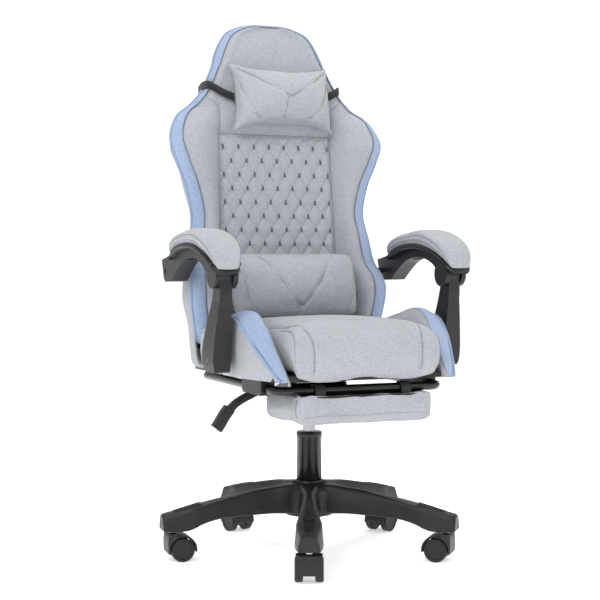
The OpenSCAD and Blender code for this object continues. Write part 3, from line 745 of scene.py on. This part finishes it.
for name, side in SIDES:
    rings = []
    for v in np.linspace(8, SHOULDER_SEAM_HIGH - 2, 150):
        xs = np.linspace(bolster_inner(v), band_inner(v), 41)
        front = [on_back(side * x, bolster_surface(x, v), v) for x in xs]
        rings.append(front + [on_back(side * x, PAD_BACK, v) for x in xs[::-8]])
    bolster = Shape().loft(rings).build("bolster_" + name)
    rumple(bolster, 1.2, 60, 3 + side)
    finish_piece(bolster, GREY_CLOTH, "back", ["back_bolster_" + name])

# ---- Back: blue band, piping and shell ----

BAND_START = int(np.argmax(OUTLINE[:, 1] > 2))
PIPING_RADIUS = 3.0

band_rings = []
for side in (1, -1):
    upward, downward = range(BAND_START, len(OUTLINE)), range(len(OUTLINE) - 2, BAND_START - 1, -1)
    for i in upward if side > 0 else downward:
        outer, inner = OUTLINE[i], BAND_INNER[i]
        edge, rise = float(edge_face(*outer)), BAND_RISE[i]
        section = [(0.0, -4), (-0.01, 1), (0.10, 0.40 * rise), (0.30, 0.76 * rise),
                   (0.55, 0.98 * rise), (0.80, 1.06 * rise), (0.95, 1.0 * rise),
                   (1.0, 0.78 * rise), (1.0, 0.3 * rise), (0.5, -6)]
        ring = []
        for t, w in section:
            x, v = outer + (inner - outer) * t
            ring.append(on_back(side * x, edge + w, v))
        band_rings.append(ring)
band = Shape().loft(band_rings).build("back_edge_band")
finish_piece(band, BLUE_CLOTH, "back")


def back_loop(points, w):
    """World places of outline points on both sides, at a depth that may be a number or one per point."""
    depths = np.broadcast_to(w, (len(points),))
    return [on_back(x, float(depth), v) for (x, v), depth in zip(points, depths)]


piping_line = mirrored(half_outline(-1.0)[BAND_START:])
piping_path = back_loop(piping_line, edge_face(*piping_line.T) - 1.5)
piping = Shape().tube(piping_path, PIPING_RADIUS, 10).build("back_piping")
finish_piece(piping, LIGHT_PIPING, "back")

# Painted shade: a thin dark blue tube just inside the piping stands in for the shadow of the seam between
# the piping and the band.
piping_shade_line = mirrored(half_outline(1.6)[BAND_START:])
piping_shade_path = back_loop(piping_shade_line, edge_face(*piping_shade_line.T) + 2.2)
piping_shade_tube = Shape().tube(piping_shade_path, 0.9, 6).build("back_piping_painted_shade")
finish_piece(piping_shade_tube, SEAM_SHADE_BLUE, "back")

inner_line = mirrored(BAND_INNER[BAND_START:])
inner_half_depth = edge_face(*OUTLINE[BAND_START:].T) + BAND_RISE[BAND_START:]
inner_depth = np.concatenate([inner_half_depth, inner_half_depth[-2::-1]])
band_seam_path = back_loop(inner_line, inner_depth - 0.6)
finish_piece(Shape().tube(band_seam_path, 0.5, 6).build("back_band_seam"), THREAD, "back")

hip_piping = Shape()
corner, inner_corner = OUTLINE[BAND_START], BAND_INNER[BAND_START]
corner_depth = float(edge_face(*corner))
for side in (1, -1):
    middle_x = side * (0.5 * corner[0] + 0.5 * inner_corner[0])
    hip_piping.tube([on_back(side * corner[0], corner_depth - 1.5, corner[1]),
                     on_back(middle_x, corner_depth + 12, corner[1] - 3),
                     on_back(side * inner_corner[0], corner_depth + 12, inner_corner[1] - 3)],
                    PIPING_RADIUS, 8)
finish_piece(hip_piping.build("hip_piping"), LIGHT_PIPING, "back")

SHELL_REAR = -38.0
SHELL_TUCK = 24.0
SHELL_DROP = 16.0
SHELL_MIDDLE = 340.0
SHELL_CENTRE_RINGS = ((0.85, -51.2), (0.7, -52.1), (0.55, -52.7), (0.4, -53.2), (0.25, -53.4), (0.1, -53.5),
                      (0.01, -53.5))


def shell_ring(inset, tuck, depth):
    """A ring of the shell. depth(x, v) gives its place from front to rear."""
    line = mirrored(half_outline(inset, tuck, SHELL_DROP))
    return [on_back(x, float(depth(x, v)), v) for x, v in line]


def wall(fraction):
    """A ring of the shell's side wall, from the piping at 0 to the rear edge at 1."""
    bulge = 3.0 * math.sin(math.pi * fraction)
    return shell_ring(2 * fraction - bulge, SHELL_TUCK * fraction,
                      lambda x, v: (edge_face(x, v) - 2) * (1 - fraction) + SHELL_REAR * fraction)


shell_rings = [shell_ring(14, 0, lambda x, v: PAD_BACK - 1)]
for inset, below in ((9, 8), (3, 3)):
    shell_rings.append(shell_ring(inset, 0, lambda x, v, d=below: edge_face(x, v) - d))
shell_rings.extend(wall(f) for f in (0.0, 0.06, 0.18, 0.35, 0.55, 0.75, 0.9, 1.0))
for inset, depth in ((4, -42), (9, -45.5), (16, -47), (26, -48), (44, -50)):
    shell_rings.append(shell_ring(inset, SHELL_TUCK, lambda x, v, d=depth: d))
rear_line = mirrored(half_outline(44, SHELL_TUCK, SHELL_DROP))
for share, depth in SHELL_CENTRE_RINGS:
    shell_rings.append([on_back(x * share, depth, SHELL_MIDDLE + (v - SHELL_MIDDLE) * share)
                        for x, v in rear_line])
shell = Shape().loft(shell_rings).build("back_rear_shell")
rumple(shell, 0.8, 90, 5)
finish_piece(shell, GREY_CLOTH, "back", ["back_shell"])

rear_seams = Shape()
rear_seams.tube(back_loop(mirrored(half_outline(16, SHELL_TUCK)), -47.2), 1.0, 6, closed=True)
finish_piece(rear_seams.build("rear_seams"), THREAD, "back")

# ---- Pillows ----

HEAD_MID = 549.0
HEAD_REAR = 33.0
PILLOW_SHIFT = 8.0
STRAP_WIDTH, STRAP_THICKNESS = 19.0, 2.2


def pillow_seams(middle, points, shift=0.0):
    """A pillow's seam lines on both sides. points are (x, depth, height over the pillow's middle)."""
    return [[on_back(shift + side * x, w, middle + v) for x, w, v in points] for side in (-1, 1)]


def head_pillow_point(s, t, front):
    """A point of the bow-tie shaped head pillow. s and t go from -1 to 1 across and up."""
    x = PILLOW_SHIFT + s * (112 + 14 * abs(t) ** 3)
    reach = (66 + 24 * abs(s) ** 2.6) if t > 0 else (56 + 20 * abs(s) ** 2.6)
    v = HEAD_MID + t * reach
    if not front:
        return on_back(x, HEAD_REAR, v)
    fullness = max(0.0, 1 - abs(s) ** 2.6) ** 0.6 * max(0.0, 1 - abs(t) ** 2.2) ** 0.55
    return on_back(x, 52 - 6 * abs(s * t) + 54 * fullness, v)


pillow_rings = []
for s in np.linspace(-1, 1, 45):
    ring = [head_pillow_point(s, t, True) for t in np.linspace(-1, 1, 29)]
    pillow_rings.append(ring + [head_pillow_point(s, t, False) for t in np.linspace(1, -1, 9)])
head_pillow = soften(Shape().loft(pillow_rings).build("head_pillow_cover"), 4.0, 0.0, 4, 4.0)
head_thread = Shape()
head_v_seams = pillow_seams(HEAD_MID, [(112, 60, 72), (58, 100, 30), (0, 106, -6)], PILLOW_SHIFT)
head_side_seams = pillow_seams(HEAD_MID, [(112, 66, 36), (96, 88, -8), (60, 84, -60)])
head_stem_seam = [on_back(0, 104, HEAD_MID - 8), on_back(-2, 100, HEAD_MID - 32),
                  on_back(-3, 80, HEAD_MID - 58)]
sew(head_pillow, head_v_seams, head_thread, 6.0, 3.0, 0.2)
sew(head_pillow, [head_stem_seam] + head_side_seams, head_thread, 5.0, 2.2, 0.2)
rumple(head_pillow, 1.6, 34, 1)
finish_piece(head_pillow, GREY_CLOTH, "head_pillow", ["head_pillow"])
finish_piece(head_thread.build("head_pillow_seams"), THREAD, "head_pillow")


def strap_side(side):
    """Half of the head pillow's strap, from the pillow round the edge of the back to its rear centre."""
    points = [(104, 40, 556), (126, 38, 565), (146, 38, 575), (160, 34, 584), (166, 12, 589),
              (166, -12, 589), (162, -34, 589), (152, -47, 588), (120, -53, 587), (60, -56.5, 586),
              (0, -57, 586)]
    return [on_back(side * x, w, v) for x, w, v in smooth_curve(points, 4)]


strap_path = strap_side(1) + strap_side(-1)[-2::-1]
UP_BACK = Vector(on_back(0, 0, 1)) - Vector(on_back(0, 0, 0))
strap = Shape().ribbon(strap_path, [UP_BACK] * len(strap_path), STRAP_WIDTH, STRAP_THICKNESS)
finish_piece(strap.build("head_pillow_strap"), STRAP_WEB, "head_pillow", ["head_strap"])

LUMBAR_MID = 113.0
LUMBAR_LIFT = 5.0
LUMBAR_NARROWING = 0.965
LUMBAR_TAPER = 0.08
lumbar = soft_copy("lumbar_pillow", "lumbar_pillow_cover", voxel=4.5, shrink=0.5, rounding=7, cap=6.0)
lumbar_points = coordinates(lumbar.data) + np.array(UP_BACK) * LUMBAR_LIFT * MM
over_middle = lumbar_points[:, 2] - lumbar_points[:, 2].mean()
end_share = np.abs(over_middle / np.abs(over_middle).max()) ** 3
lumbar_points[:, 0] *= LUMBAR_NARROWING * (1 - LUMBAR_TAPER * end_share)
move_points(lumbar.data, lumbar_points)
lumbar_thread = Shape()
lumbar_v_seams = pillow_seams(LUMBAR_MID, [(88, 70, 70), (44, 98, 6), (0, 98, -56)])
lumbar_side_seams = pillow_seams(LUMBAR_MID, [(128, 60, 58), (128, 92, 4), (116, 80, -58)])
lumbar_stem_seam = [on_back(0, 98, LUMBAR_MID - 57), on_back(0, 80, LUMBAR_MID - 68)]
sew(lumbar, lumbar_v_seams, lumbar_thread, 6.0, 3.0, 0.2)
sew(lumbar, [lumbar_stem_seam] + lumbar_side_seams, lumbar_thread, 5.0, 2.2, 0.2)
rumple(lumbar, 1.8, 42, 2)
finish_piece(lumbar, GREY_CLOTH, "lumbar_pillow", ["lumbar_pillow"])
finish_piece(lumbar_thread.build("lumbar_pillow_seams"), THREAD, "lumbar_pillow")

# ---- Seat ----

SEAT_CROWN = 7.0


def both_sides(points):
    """A line of points of the left side, and its mirror image on the right."""
    return [[(side * x, y, z) for x, y, z in points] for side in (1, -1)]


seat = soft_copy("seat_cushion", "seat_cushion_cover", voxel=5.5, shrink=2.0, rounding=8, cap=9.0)
seat_points = coordinates(seat.data) / MM
crown = np.clip(1 - (seat_points[:, 0] / 170) ** 2, 0, 1) * np.clip((seat_points[:, 2] - 450) / 55, 0, 1)
seat_points[:, 2] += SEAT_CROWN * crown * np.clip((seat_points[:, 1] + 312) / 60, 0, 1)
move_points(seat.data, seat_points * MM)
seat_thread = Shape()
long_seams = both_sides([(118, -308, 412), (119, -314, 450), (121, -300, 492), (138, -230, 512),
                         (158, -130, 510)])
corner_seams = both_sides([(150, -180, 506), (160, -270, 500), (166, -303, 480), (164, -303, 412)])
sew(seat, long_seams, seat_thread, 5.0, 2.6, 0.15)
sew(seat, corner_seams, seat_thread, 4.0, 1.8, 0.1)
sew(seat, [[(-50, -222, 516), (0, -246, 516), (50, -222, 516)]], seat_thread, 4.0, 1.2, 0.1)
rumple(seat, 1.6, 80, 4)
finish_piece(seat, GREY_CLOTH, "seat", ["seat_cushion"])
finish_piece(seat_thread.build("seat_seams"), THREAD, "seat")

WING_TOP = smooth_curve([(96, 494), (80, 496), (20, 503), (-60, 519), (-118, 532), (-150, 533), (-178, 525),
                         (-208, 503), (-243, 468), (-274, 436), (-300, 408)])[::-1]
WING_OUTER = smooth_curve([(-304, 184), (-298, 193), (-262, 208), (-205, 225), (-140, 230), (-60, 230),
                           (60, 224), (96, 218)])
WING_INNER = smooth_curve([(-304, 175), (-290, 176), (-240, 180), (-150, 185), (96, 186)])


def wing_section(y):
    """One ring of a wing, as (x, z) for the left side, and the indices of its strip's edges."""
    top = float(np.interp(y, WING_TOP[:, 0], WING_TOP[:, 1]))
    outer = float(np.interp(y, WING_OUTER[:, 0], WING_OUTER[:, 1]))
    inner = float(np.interp(y, WING_INNER[:, 0], WING_INNER[:, 1]))
    fall = float(np.interp(y, (-300, -200, -120, 96), (6, 18, 12, 12)))
    low = SEAT_FLOOR + 1
    body = top - low
    fall = min(fall, 0.6 * body)
    bulge = min(4.0, 0.06 * body)
    section = [(171, low)]
    section += [(171 + (inner - 171) * t ** 1.4, low + (top - 3 - low) * u)
                for t, u in ((0.0, 0.4), (0.12, 0.7), (0.4, 0.9), (0.8, 0.98))]
    strip_start = len(section)
    section += [(inner + (outer - inner) * t, top - fall * t ** 1.6 + bulge * (1 - (2 * t - 1) ** 2))
                for t in (0.0, 0.12, 0.3, 0.5, 0.7, 0.88, 1.0)]
    strip_end = len(section) - 1
    section += [(outer + bulge * math.sin(math.pi * t) - 5 * t, top - fall + (low - top + fall) * t)
                for t in (0.08, 0.25, 0.5, 0.75, 0.95)]
    section.append((outer - 8, low))
    return section, strip_start, strip_end


for name, side in SIDES:
    ys = np.concatenate([np.linspace(-301, -260, 24), np.linspace(-256, 80, 60)])
    cuts = [(y,) + wing_section(y) for y in ys]
    body = Shape().loft([[(side * x, y, z) for x, z in section] for y, section, _, _ in cuts])
    wing = body.build("seat_wing_cover_" + name)
    rumple(wing, 0.9, 60, 6 + side)
    finish_piece(wing, GREY_CLOTH, "seat", ["seat_wing_" + name])
    strip_rings = []
    for y, section, a, b in cuts:
        top = [(side * x, y, z + 0.9) for x, z in section[a:b + 1]]
        strip_rings.append(top + [(p[0], p[1], p[2] - 2.4) for p in reversed(top)])
    tip_y, tip_section, a, b = cuts[0]
    tip_top = [(side * x, tip_y - 2.5, SEAT_FLOOR + 3.5) for x, _ in tip_section[a:b + 1]]
    strip_rings.insert(0, tip_top + [(x, y, SEAT_FLOOR + 1) for x, y, _ in reversed(tip_top)])
    strip = Shape().loft(strip_rings).build("seat_wing_strip_" + name)
    rumple(strip, 0.9, 60, 6 + side)
    finish_piece(strip, BLUE_CLOTH, "seat")
    trim = Shape().tube([(side * (s[b][0] + 0.5), y, s[b][1] + 0.5) for y, s, a, b in cuts], 2.8, 10)
    finish_piece(trim.build("seat_wing_piping_" + name), LIGHT_PIPING, "seat")
    # Painted shade: a thin dark blue tube just inside the wing's piping stands in for the shadow of its
    # seam.
    trim_shade_tube = Shape().tube([(side * (s[b][0] - 2.4), y, s[b][1] + 2.6) for y, s, a, b in cuts], 0.9, 6)
    finish_piece(trim_shade_tube.build("seat_wing_piping_seam_" + name), SEAM_SHADE_BLUE, "seat")
    seam = Shape().tube([(side * s[a][0], y, s[a][1] + 0.8) for y, s, a, b in cuts], 0.6, 6)
    finish_piece(seam.build("seat_wing_seam_" + name), THREAD, "seat")

# ---- Footrest ----

FOOT_RIM = 9.0
FOOT_WIDENING = 1.02
FOOT_FRONT = -295.0
foot = soft_copy("footrest_pad", "footrest_cover", voxel=4.5, shrink=0.5, rounding=7, cap=7.0)
foot_points = coordinates(foot.data) / MM
side_rim = np.clip((np.abs(foot_points[:, 0]) - 130) / 12, 0, 1)
front_rim = np.clip((-281 - foot_points[:, 1]) / 10, 0, 1)
top_share = np.clip((foot_points[:, 2] - 345) / 22, 0, 1)
foot_points[:, 2] += FOOT_RIM * np.maximum(side_rim, front_rim) * top_share
foot_points[:, 0] *= FOOT_WIDENING
move_points(foot.data, foot_points * MM)
foot_thread = Shape()
front_line = [(-136, FOOT_FRONT, 330), (0, FOOT_FRONT - 4, 329), (136, FOOT_FRONT, 330)]
stitches(foot_thread, lay_on(foot, front_line, 0.4))
sew(foot, [[(-149, -270, 326), (-150, -268, 345), (-149, -268, 366)]], foot_thread, 4.0, 1.4, 0.2)
rumple(foot, 1.2, 50, 9)
finish_piece(foot, GREY_CLOTH, "footrest_flap", ["footrest_pad"])
finish_piece(foot_thread.build("footrest_stitching"), THREAD, "footrest_flap")

# ---- Armrests ----

PAD_TOP = smooth_curve([(95, 656), (82, 673), (40, 689), (-20, 698), (-70, 702), (-112, 696), (-150, 684),
                        (-178, 668), (-195, 648), (-202, 630)])
PAD_UNDER = smooth_curve([(94, 646), (66, 654), (30, 664), (-20, 670), (-60, 670), (-100, 665), (-135, 655),
                          (-160, 644), (-178, 634), (-190, 624), (-201, 616)])
PAD_HALF = smooth_curve([(-202, 22), (-192, 31), (-170, 37), (-120, 41), (-40, 41), (50, 38), (84, 32),
                         (95, 24)])
TRAY_RIM_SECTION = ((-0.9, -7), (0.9, -7), (1, -5), (1, 2), (-1, 2), (-1, -5))


def pad_half(y):
    """Half width of an arm pad."""
    return float(np.interp(y, PAD_HALF[:, 0], PAD_HALF[:, 1]))


def pad_section(t):
    """Top and underside, as (y, z), and half width of an arm pad, t of the way from its rear to its nose."""
    i, j = t * (len(PAD_TOP) - 1), t * (len(PAD_UNDER) - 1)
    top = np.array([np.interp(i, range(len(PAD_TOP)), PAD_TOP[:, k]) for k in (0, 1)])
    under = np.array([np.interp(j, range(len(PAD_UNDER)), PAD_UNDER[:, k]) for k in (0, 1)])
    return top, under, pad_half(0.5 * (top[0] + under[0]))


def pad_ring(t, side):
    """A rounded cross section of an arm pad."""
    top, under, half = pad_section(t)
    ring = []
    for a in np.linspace(0, 2 * math.pi, 40, endpoint=False):
        across = half * math.copysign(abs(math.cos(a)) ** 0.55, math.cos(a))
        height = 0.5 + 0.5 * math.copysign(abs(math.sin(a)) ** 0.62, math.sin(a))
        y, z = under + (top - under) * height
        ring.append((side * ARM_X + across, y, z))
    return ring


def pad_side(t, height, out, side):
    """A point beside an arm pad, for its seams."""
    top, under, half = pad_section(t)
    y, z = under + (top - under) * height
    return (side * ARM_X + out * half, y, z)


for name, side in SIDES:
    pad = Shape().loft([pad_ring(t, side) for t in np.linspace(0, 1, 80)]).build("arm_pad_cover_" + name)
    soften(pad, voxel=3.5, shrink=0.0, rounding=3, cap=2.5)
    pad_thread = Shape()
    sew(pad, [[pad_side(t, height, out, side) for t in np.linspace(0.06, 0.93, 12)]
              for out in (-1, 1) for height in (0.3, 0.7)], pad_thread, 3.0, 1.2, 0.1)
    rumple(pad, 0.8, 40, 11 + side)
    finish_piece(pad, GREY_CLOTH, "arm_" + name, ["arm_pad_" + name])
    finish_piece(pad_thread.build("arm_pad_seams_" + name), THREAD, "arm_" + name)
    tray_rim = Shape().loft([[(side * ARM_X + across * (pad_half(y) - 3), y, z + up)
                              for across, up in TRAY_RIM_SECTION] for y, z in PAD_UNDER])
    finish_piece(tray_rim.build("arm_tray_rim_" + name), BLACK_PLASTIC, "arm_" + name)

# ---- Base and casters ----

LEGS = 5
BASE_TURN = math.radians(-113.5)
STEM_R = 307.0
LEG_SIZES = np.array([
    # distance out, underside, top, half width at the underside, half width at the top
    (20, 90, 152, 27, 20), (60, 90, 149, 25, 16), (90, 91, 145, 22.5, 10.5), (130, 90, 140, 22, 11),
    (200, 87, 126, 24, 18), (240, 79, 117, 27, 23), (262, 70, 113, 29, 25), (280, 65, 109, 28.5, 22),
    (300, 65, 104, 26.5, 19), (316, 65, 101, 24.5, 17), (325, 65.5, 99, 23, 15.5), (329.5, 67, 96, 21, 13),
])


def on_leg(i, r, y, z):
    """A point out along leg i, y to its side."""
    turn = BASE_TURN + math.radians(360 / LEGS) * i
    return (r * math.cos(turn) - y * math.sin(turn), r * math.sin(turn) + y * math.cos(turn), z)


def leg_ring(i, r, low, high, wide, narrow):
    """A cross section of leg i, r out from the centre."""
    side = [(wide - 2, low), (wide, low + 2), (wide - 0.6, low + 9),
            (narrow + 0.35 * (wide - narrow), high - 10), (narrow + 1.2, high - 4.5),
            (narrow - 0.6, high - 1.4), (narrow - 3.4, high), (0.4 * narrow, high + 0.8)]
    return [on_leg(i, r, y, z) for y, z in side] + [on_leg(i, r, -y, z) for y, z in reversed(side)]


def upright_axis(x, y, height):
    """Places a turned shape on the chair's own upright axis."""
    return (x, y, height)


FLUTES = 30
star = Shape()
for i in range(LEGS):
    star.loft([leg_ring(i, *row) for row in smooth_curve(LEG_SIZES, 5)])
star.turned([(29, 84), (52, 84), (55.5, 88), (56.5, 98), (56.5, 130), (54, 138), (48, 145), (38, 150),
             (32, 153), (30, 158), (26, 158.5)], upright_axis, 60)
for k in range(FLUTES):
    turn = 2 * math.pi * (k + 0.5) / FLUTES
    star.tube([(r * math.cos(turn), r * math.sin(turn), z)
               for r, z in ((31.5, 157), (33, 153.8), (39, 150.6), (47.5, 146.2))], [0.5, 1.3, 1.3, 0.5], 6)
TREAD_TOP = 109.6
TREAD_SLOPE = 0.235


def on_tread(i, r, y):
    """A point on the sloping top of leg i, over its broad end."""
    return on_leg(i, r, y, TREAD_TOP - TREAD_SLOPE * (r - 278) + 0.9)


for i in range(LEGS):
    for r in range(252, 304, 9):
        half = 12 - 0.1 * (r - 250)
        star.tube([on_tread(i, r - 5, -half), on_tread(i, r + 1, 0), on_tread(i, r - 5, half)], 1.2, 6)
    for y_side in (-1, 1):
        star.tube([on_tread(i, 242, 15 * y_side), on_tread(i, 304, 9 * y_side)], 0.9, 6)
base_skin = bevelled(star.build("star_base_skin"), 0.8, 40)
finish_piece(base_skin, BLACK_PLASTIC, "base", ["star_base"])

TRAIL = 19.0
AXLE_Z = 25.0


def around_axle(radius, start_angle, end_angle, count):
    """An arc about a caster's axle, as (r, z)."""
    angles = np.radians(np.linspace(start_angle, end_angle, count))
    return [(-TRAIL + radius * math.cos(a), AXLE_Z + radius * math.sin(a)) for a in angles]


HOOD_SIDE = around_axle(27, 190, -15, 22) + [(12, 17), (13, 30), (13, 45), (12, 56), (8, 60.4), (-6, 61)]
HOOD_SIDE += around_axle(31, 72, 190, 16)
HOOD_WEB = [(-33, 25), (-19, 10), (-5, 25), (9, 38), (9, 53), (-11, 53), (-33, 46)]
HOOD_HALF_WIDTH, WEB_HALF_WIDTH = 27, 4
for i in range(LEGS):
    hood = Shape()
    for outline, half in ((HOOD_SIDE, HOOD_HALF_WIDTH), (HOOD_WEB, WEB_HALF_WIDTH)):
        hood.loft([[on_leg(i, STEM_R + r, y, z) for r, z in outline] for y in (-half, half)])
    number = str(i + 1)
    skin = bevelled(hood.build("caster_hood_skin_" + number), 1.7, 40)
    finish_piece(skin, BLACK_PLASTIC, "caster_" + number, ["caster_hood_" + number])

COLUMN_TOP = 264.0
COLUMN_RADIUS, COLLAR_RADIUS = 27, 28
BUSH_LOW, BUSH_HIGH = 220.0, 261.0
BUSH_BORE, BUSH_RADIUS = 14.3, 23

column = Shape().turned([(25, 76), (COLUMN_RADIUS, 77), (COLUMN_RADIUS, COLUMN_TOP - 13),
                         (COLLAR_RADIUS, COLUMN_TOP - 12), (COLLAR_RADIUS, COLUMN_TOP - 1.5),
                         (26.6, COLUMN_TOP), (16, COLUMN_TOP)], upright_axis, 48)
finish_piece(column.build("gas_lift_tube_skin"), BLACK_STEEL, "base",
             ["gas_lift_tube", "column_collar"])
bush = Shape().turned([(BUSH_BORE, BUSH_LOW), (BUSH_RADIUS, BUSH_LOW), (BUSH_RADIUS, BUSH_HIGH),
                       (BUSH_BORE, BUSH_HIGH)], upright_axis, 48)
finish_piece(bush.build("guide_bush_skin"), BUSH_PLASTIC, "base", ["guide_bush"])

LEVER_Y, LEVER_Z = -64.0, 362.0
ACROSS_LEVER = (0, 1, 0)
LEVER_RADIUS = 4.5


def lever_line(*points):
    """Points of the lift lever, which lies in one plane, from their x and z."""
    return [(x, LEVER_Y, z) for x, z in points]


lever = Shape().tube(lever_line((-57, LEVER_Z), (-140, LEVER_Z), (-148, 360), (-176, 349)), LEVER_RADIUS, 12)
handle = smooth_curve(lever_line((-160, 357), (-180, 348), (-198, 337), (-213, 322)), 5)
paddle = smooth_curve(lever_line((-209, 330), (-222, 313), (-232, 297), (-239, 288)), 5)
for path, width, thickness in ((handle, 15, 15), (paddle, 19, 23)):
    lever.ribbon(path, [ACROSS_LEVER] * len(path), width, thickness)
for x, z in ((-188, 343), (-228, 303)):
    lever.turned([(0.1, 4), (2.6, 4), (2.6, 11.2), (1.8, 11.8), (0.1, 11.9)],
                 lambda a, b, h, x=x, z=z: (x + a, LEVER_Y - h, z + b), 12)
lever_skin = bevelled(lever.build("lift_lever_skin"), 0.8, 40)
finish_piece(lever_skin, BLACK_PLASTIC, "lift_lever", ["lift_lever"])

for name in ("arm_upright", "arm_bracket"):
    for side in ("left", "right"):
        bevelled(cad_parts[name + "_" + side], 1.1)
for name in ("tilt_housing", "tension_knob", "recline_lever", "rail_guides", "footrest_clips"):
    bevelled(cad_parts[name], 0.8)

# ---- Floor, light and camera ----


def stage_plane(name, size, tone, glow):
    """A square floor with a faint glow of its own."""
    mesh = bpy.data.meshes.new(name)
    s = size / 2
    mesh.from_pydata([(-s, -s, 0), (s, -s, 0), (s, s, 0), (-s, s, 0)], [], [(0, 1, 2, 3)])
    floor = new_object(name, mesh)
    finish = Finish("pale_floor", Specular_IOR_Level=0.1, Emission_Color=(1, 1, 1, 1),
                    Emission_Strength=glow)
    cloud = finish.grain(3, 2.0)
    finish.coloured(cloud, (0.3, tone), (0.7, tone))
    finish.rough(cloud, 0.8, 0.9)
    mesh.materials.append(finish.material)
    return floor


def soft_light(name, place, aim, size, power):
    """A square lamp at a place, turned to its aim."""
    data = bpy.data.lights.new(name, "AREA")
    data.shape = "SQUARE"
    data.size = size
    data.energy = power
    lamp = new_object(name, data)
    lamp.location = place
    lamp.rotation_euler = (Vector(aim) - Vector(place)).to_track_quat("-Z", "Y").to_euler()
    return lamp


def white_surroundings(name, light, backdrop):
    """An even pale sky that lights the chair less than it shows to the camera."""
    world = bpy.data.worlds.new(name)
    world.use_nodes = True
    nodes, links = world.node_tree.nodes, world.node_tree.links
    seen = nodes.new("ShaderNodeLightPath").outputs["Is Camera Ray"]
    strength = nodes.new("ShaderNodeMapRange")
    links.new(seen, strength.inputs["Value"])
    strength.inputs["To Min"].default_value = light
    strength.inputs["To Max"].default_value = backdrop
    links.new(strength.outputs["Result"], nodes["Background"].inputs["Strength"])
    nodes["Background"].inputs["Color"].default_value = (1, 1, 1, 1)
    bpy.context.scene.world = world


stage_plane("floor", 60.0, paint(246, 246, 246), 0.5)
CHAIR_MIDDLE = (0.0, 0.0, 0.6)
soft_light("key", (-2.6, -2.6, 3.2), CHAIR_MIDDLE, 2.4, 95)
soft_light("fill", (3.0, -2.4, 1.8), CHAIR_MIDDLE, 2.6, 30)
soft_light("top", (0.4, 0.8, 3.4), CHAIR_MIDDLE, 2.4, 50)
white_surroundings("studio", 0.62, 1.3)
bpy.context.scene.view_settings.view_transform = "Standard"

camera_data = bpy.data.cameras.new("camera")
camera_data.lens = 84
camera_data.sensor_width = 36
camera = new_object("camera", camera_data)
camera.location = (-1.216, -2.797, 0.655)
camera.rotation_euler = (math.radians(88.04), 0, math.radians(-23.12))
bpy.context.scene.camera = camera
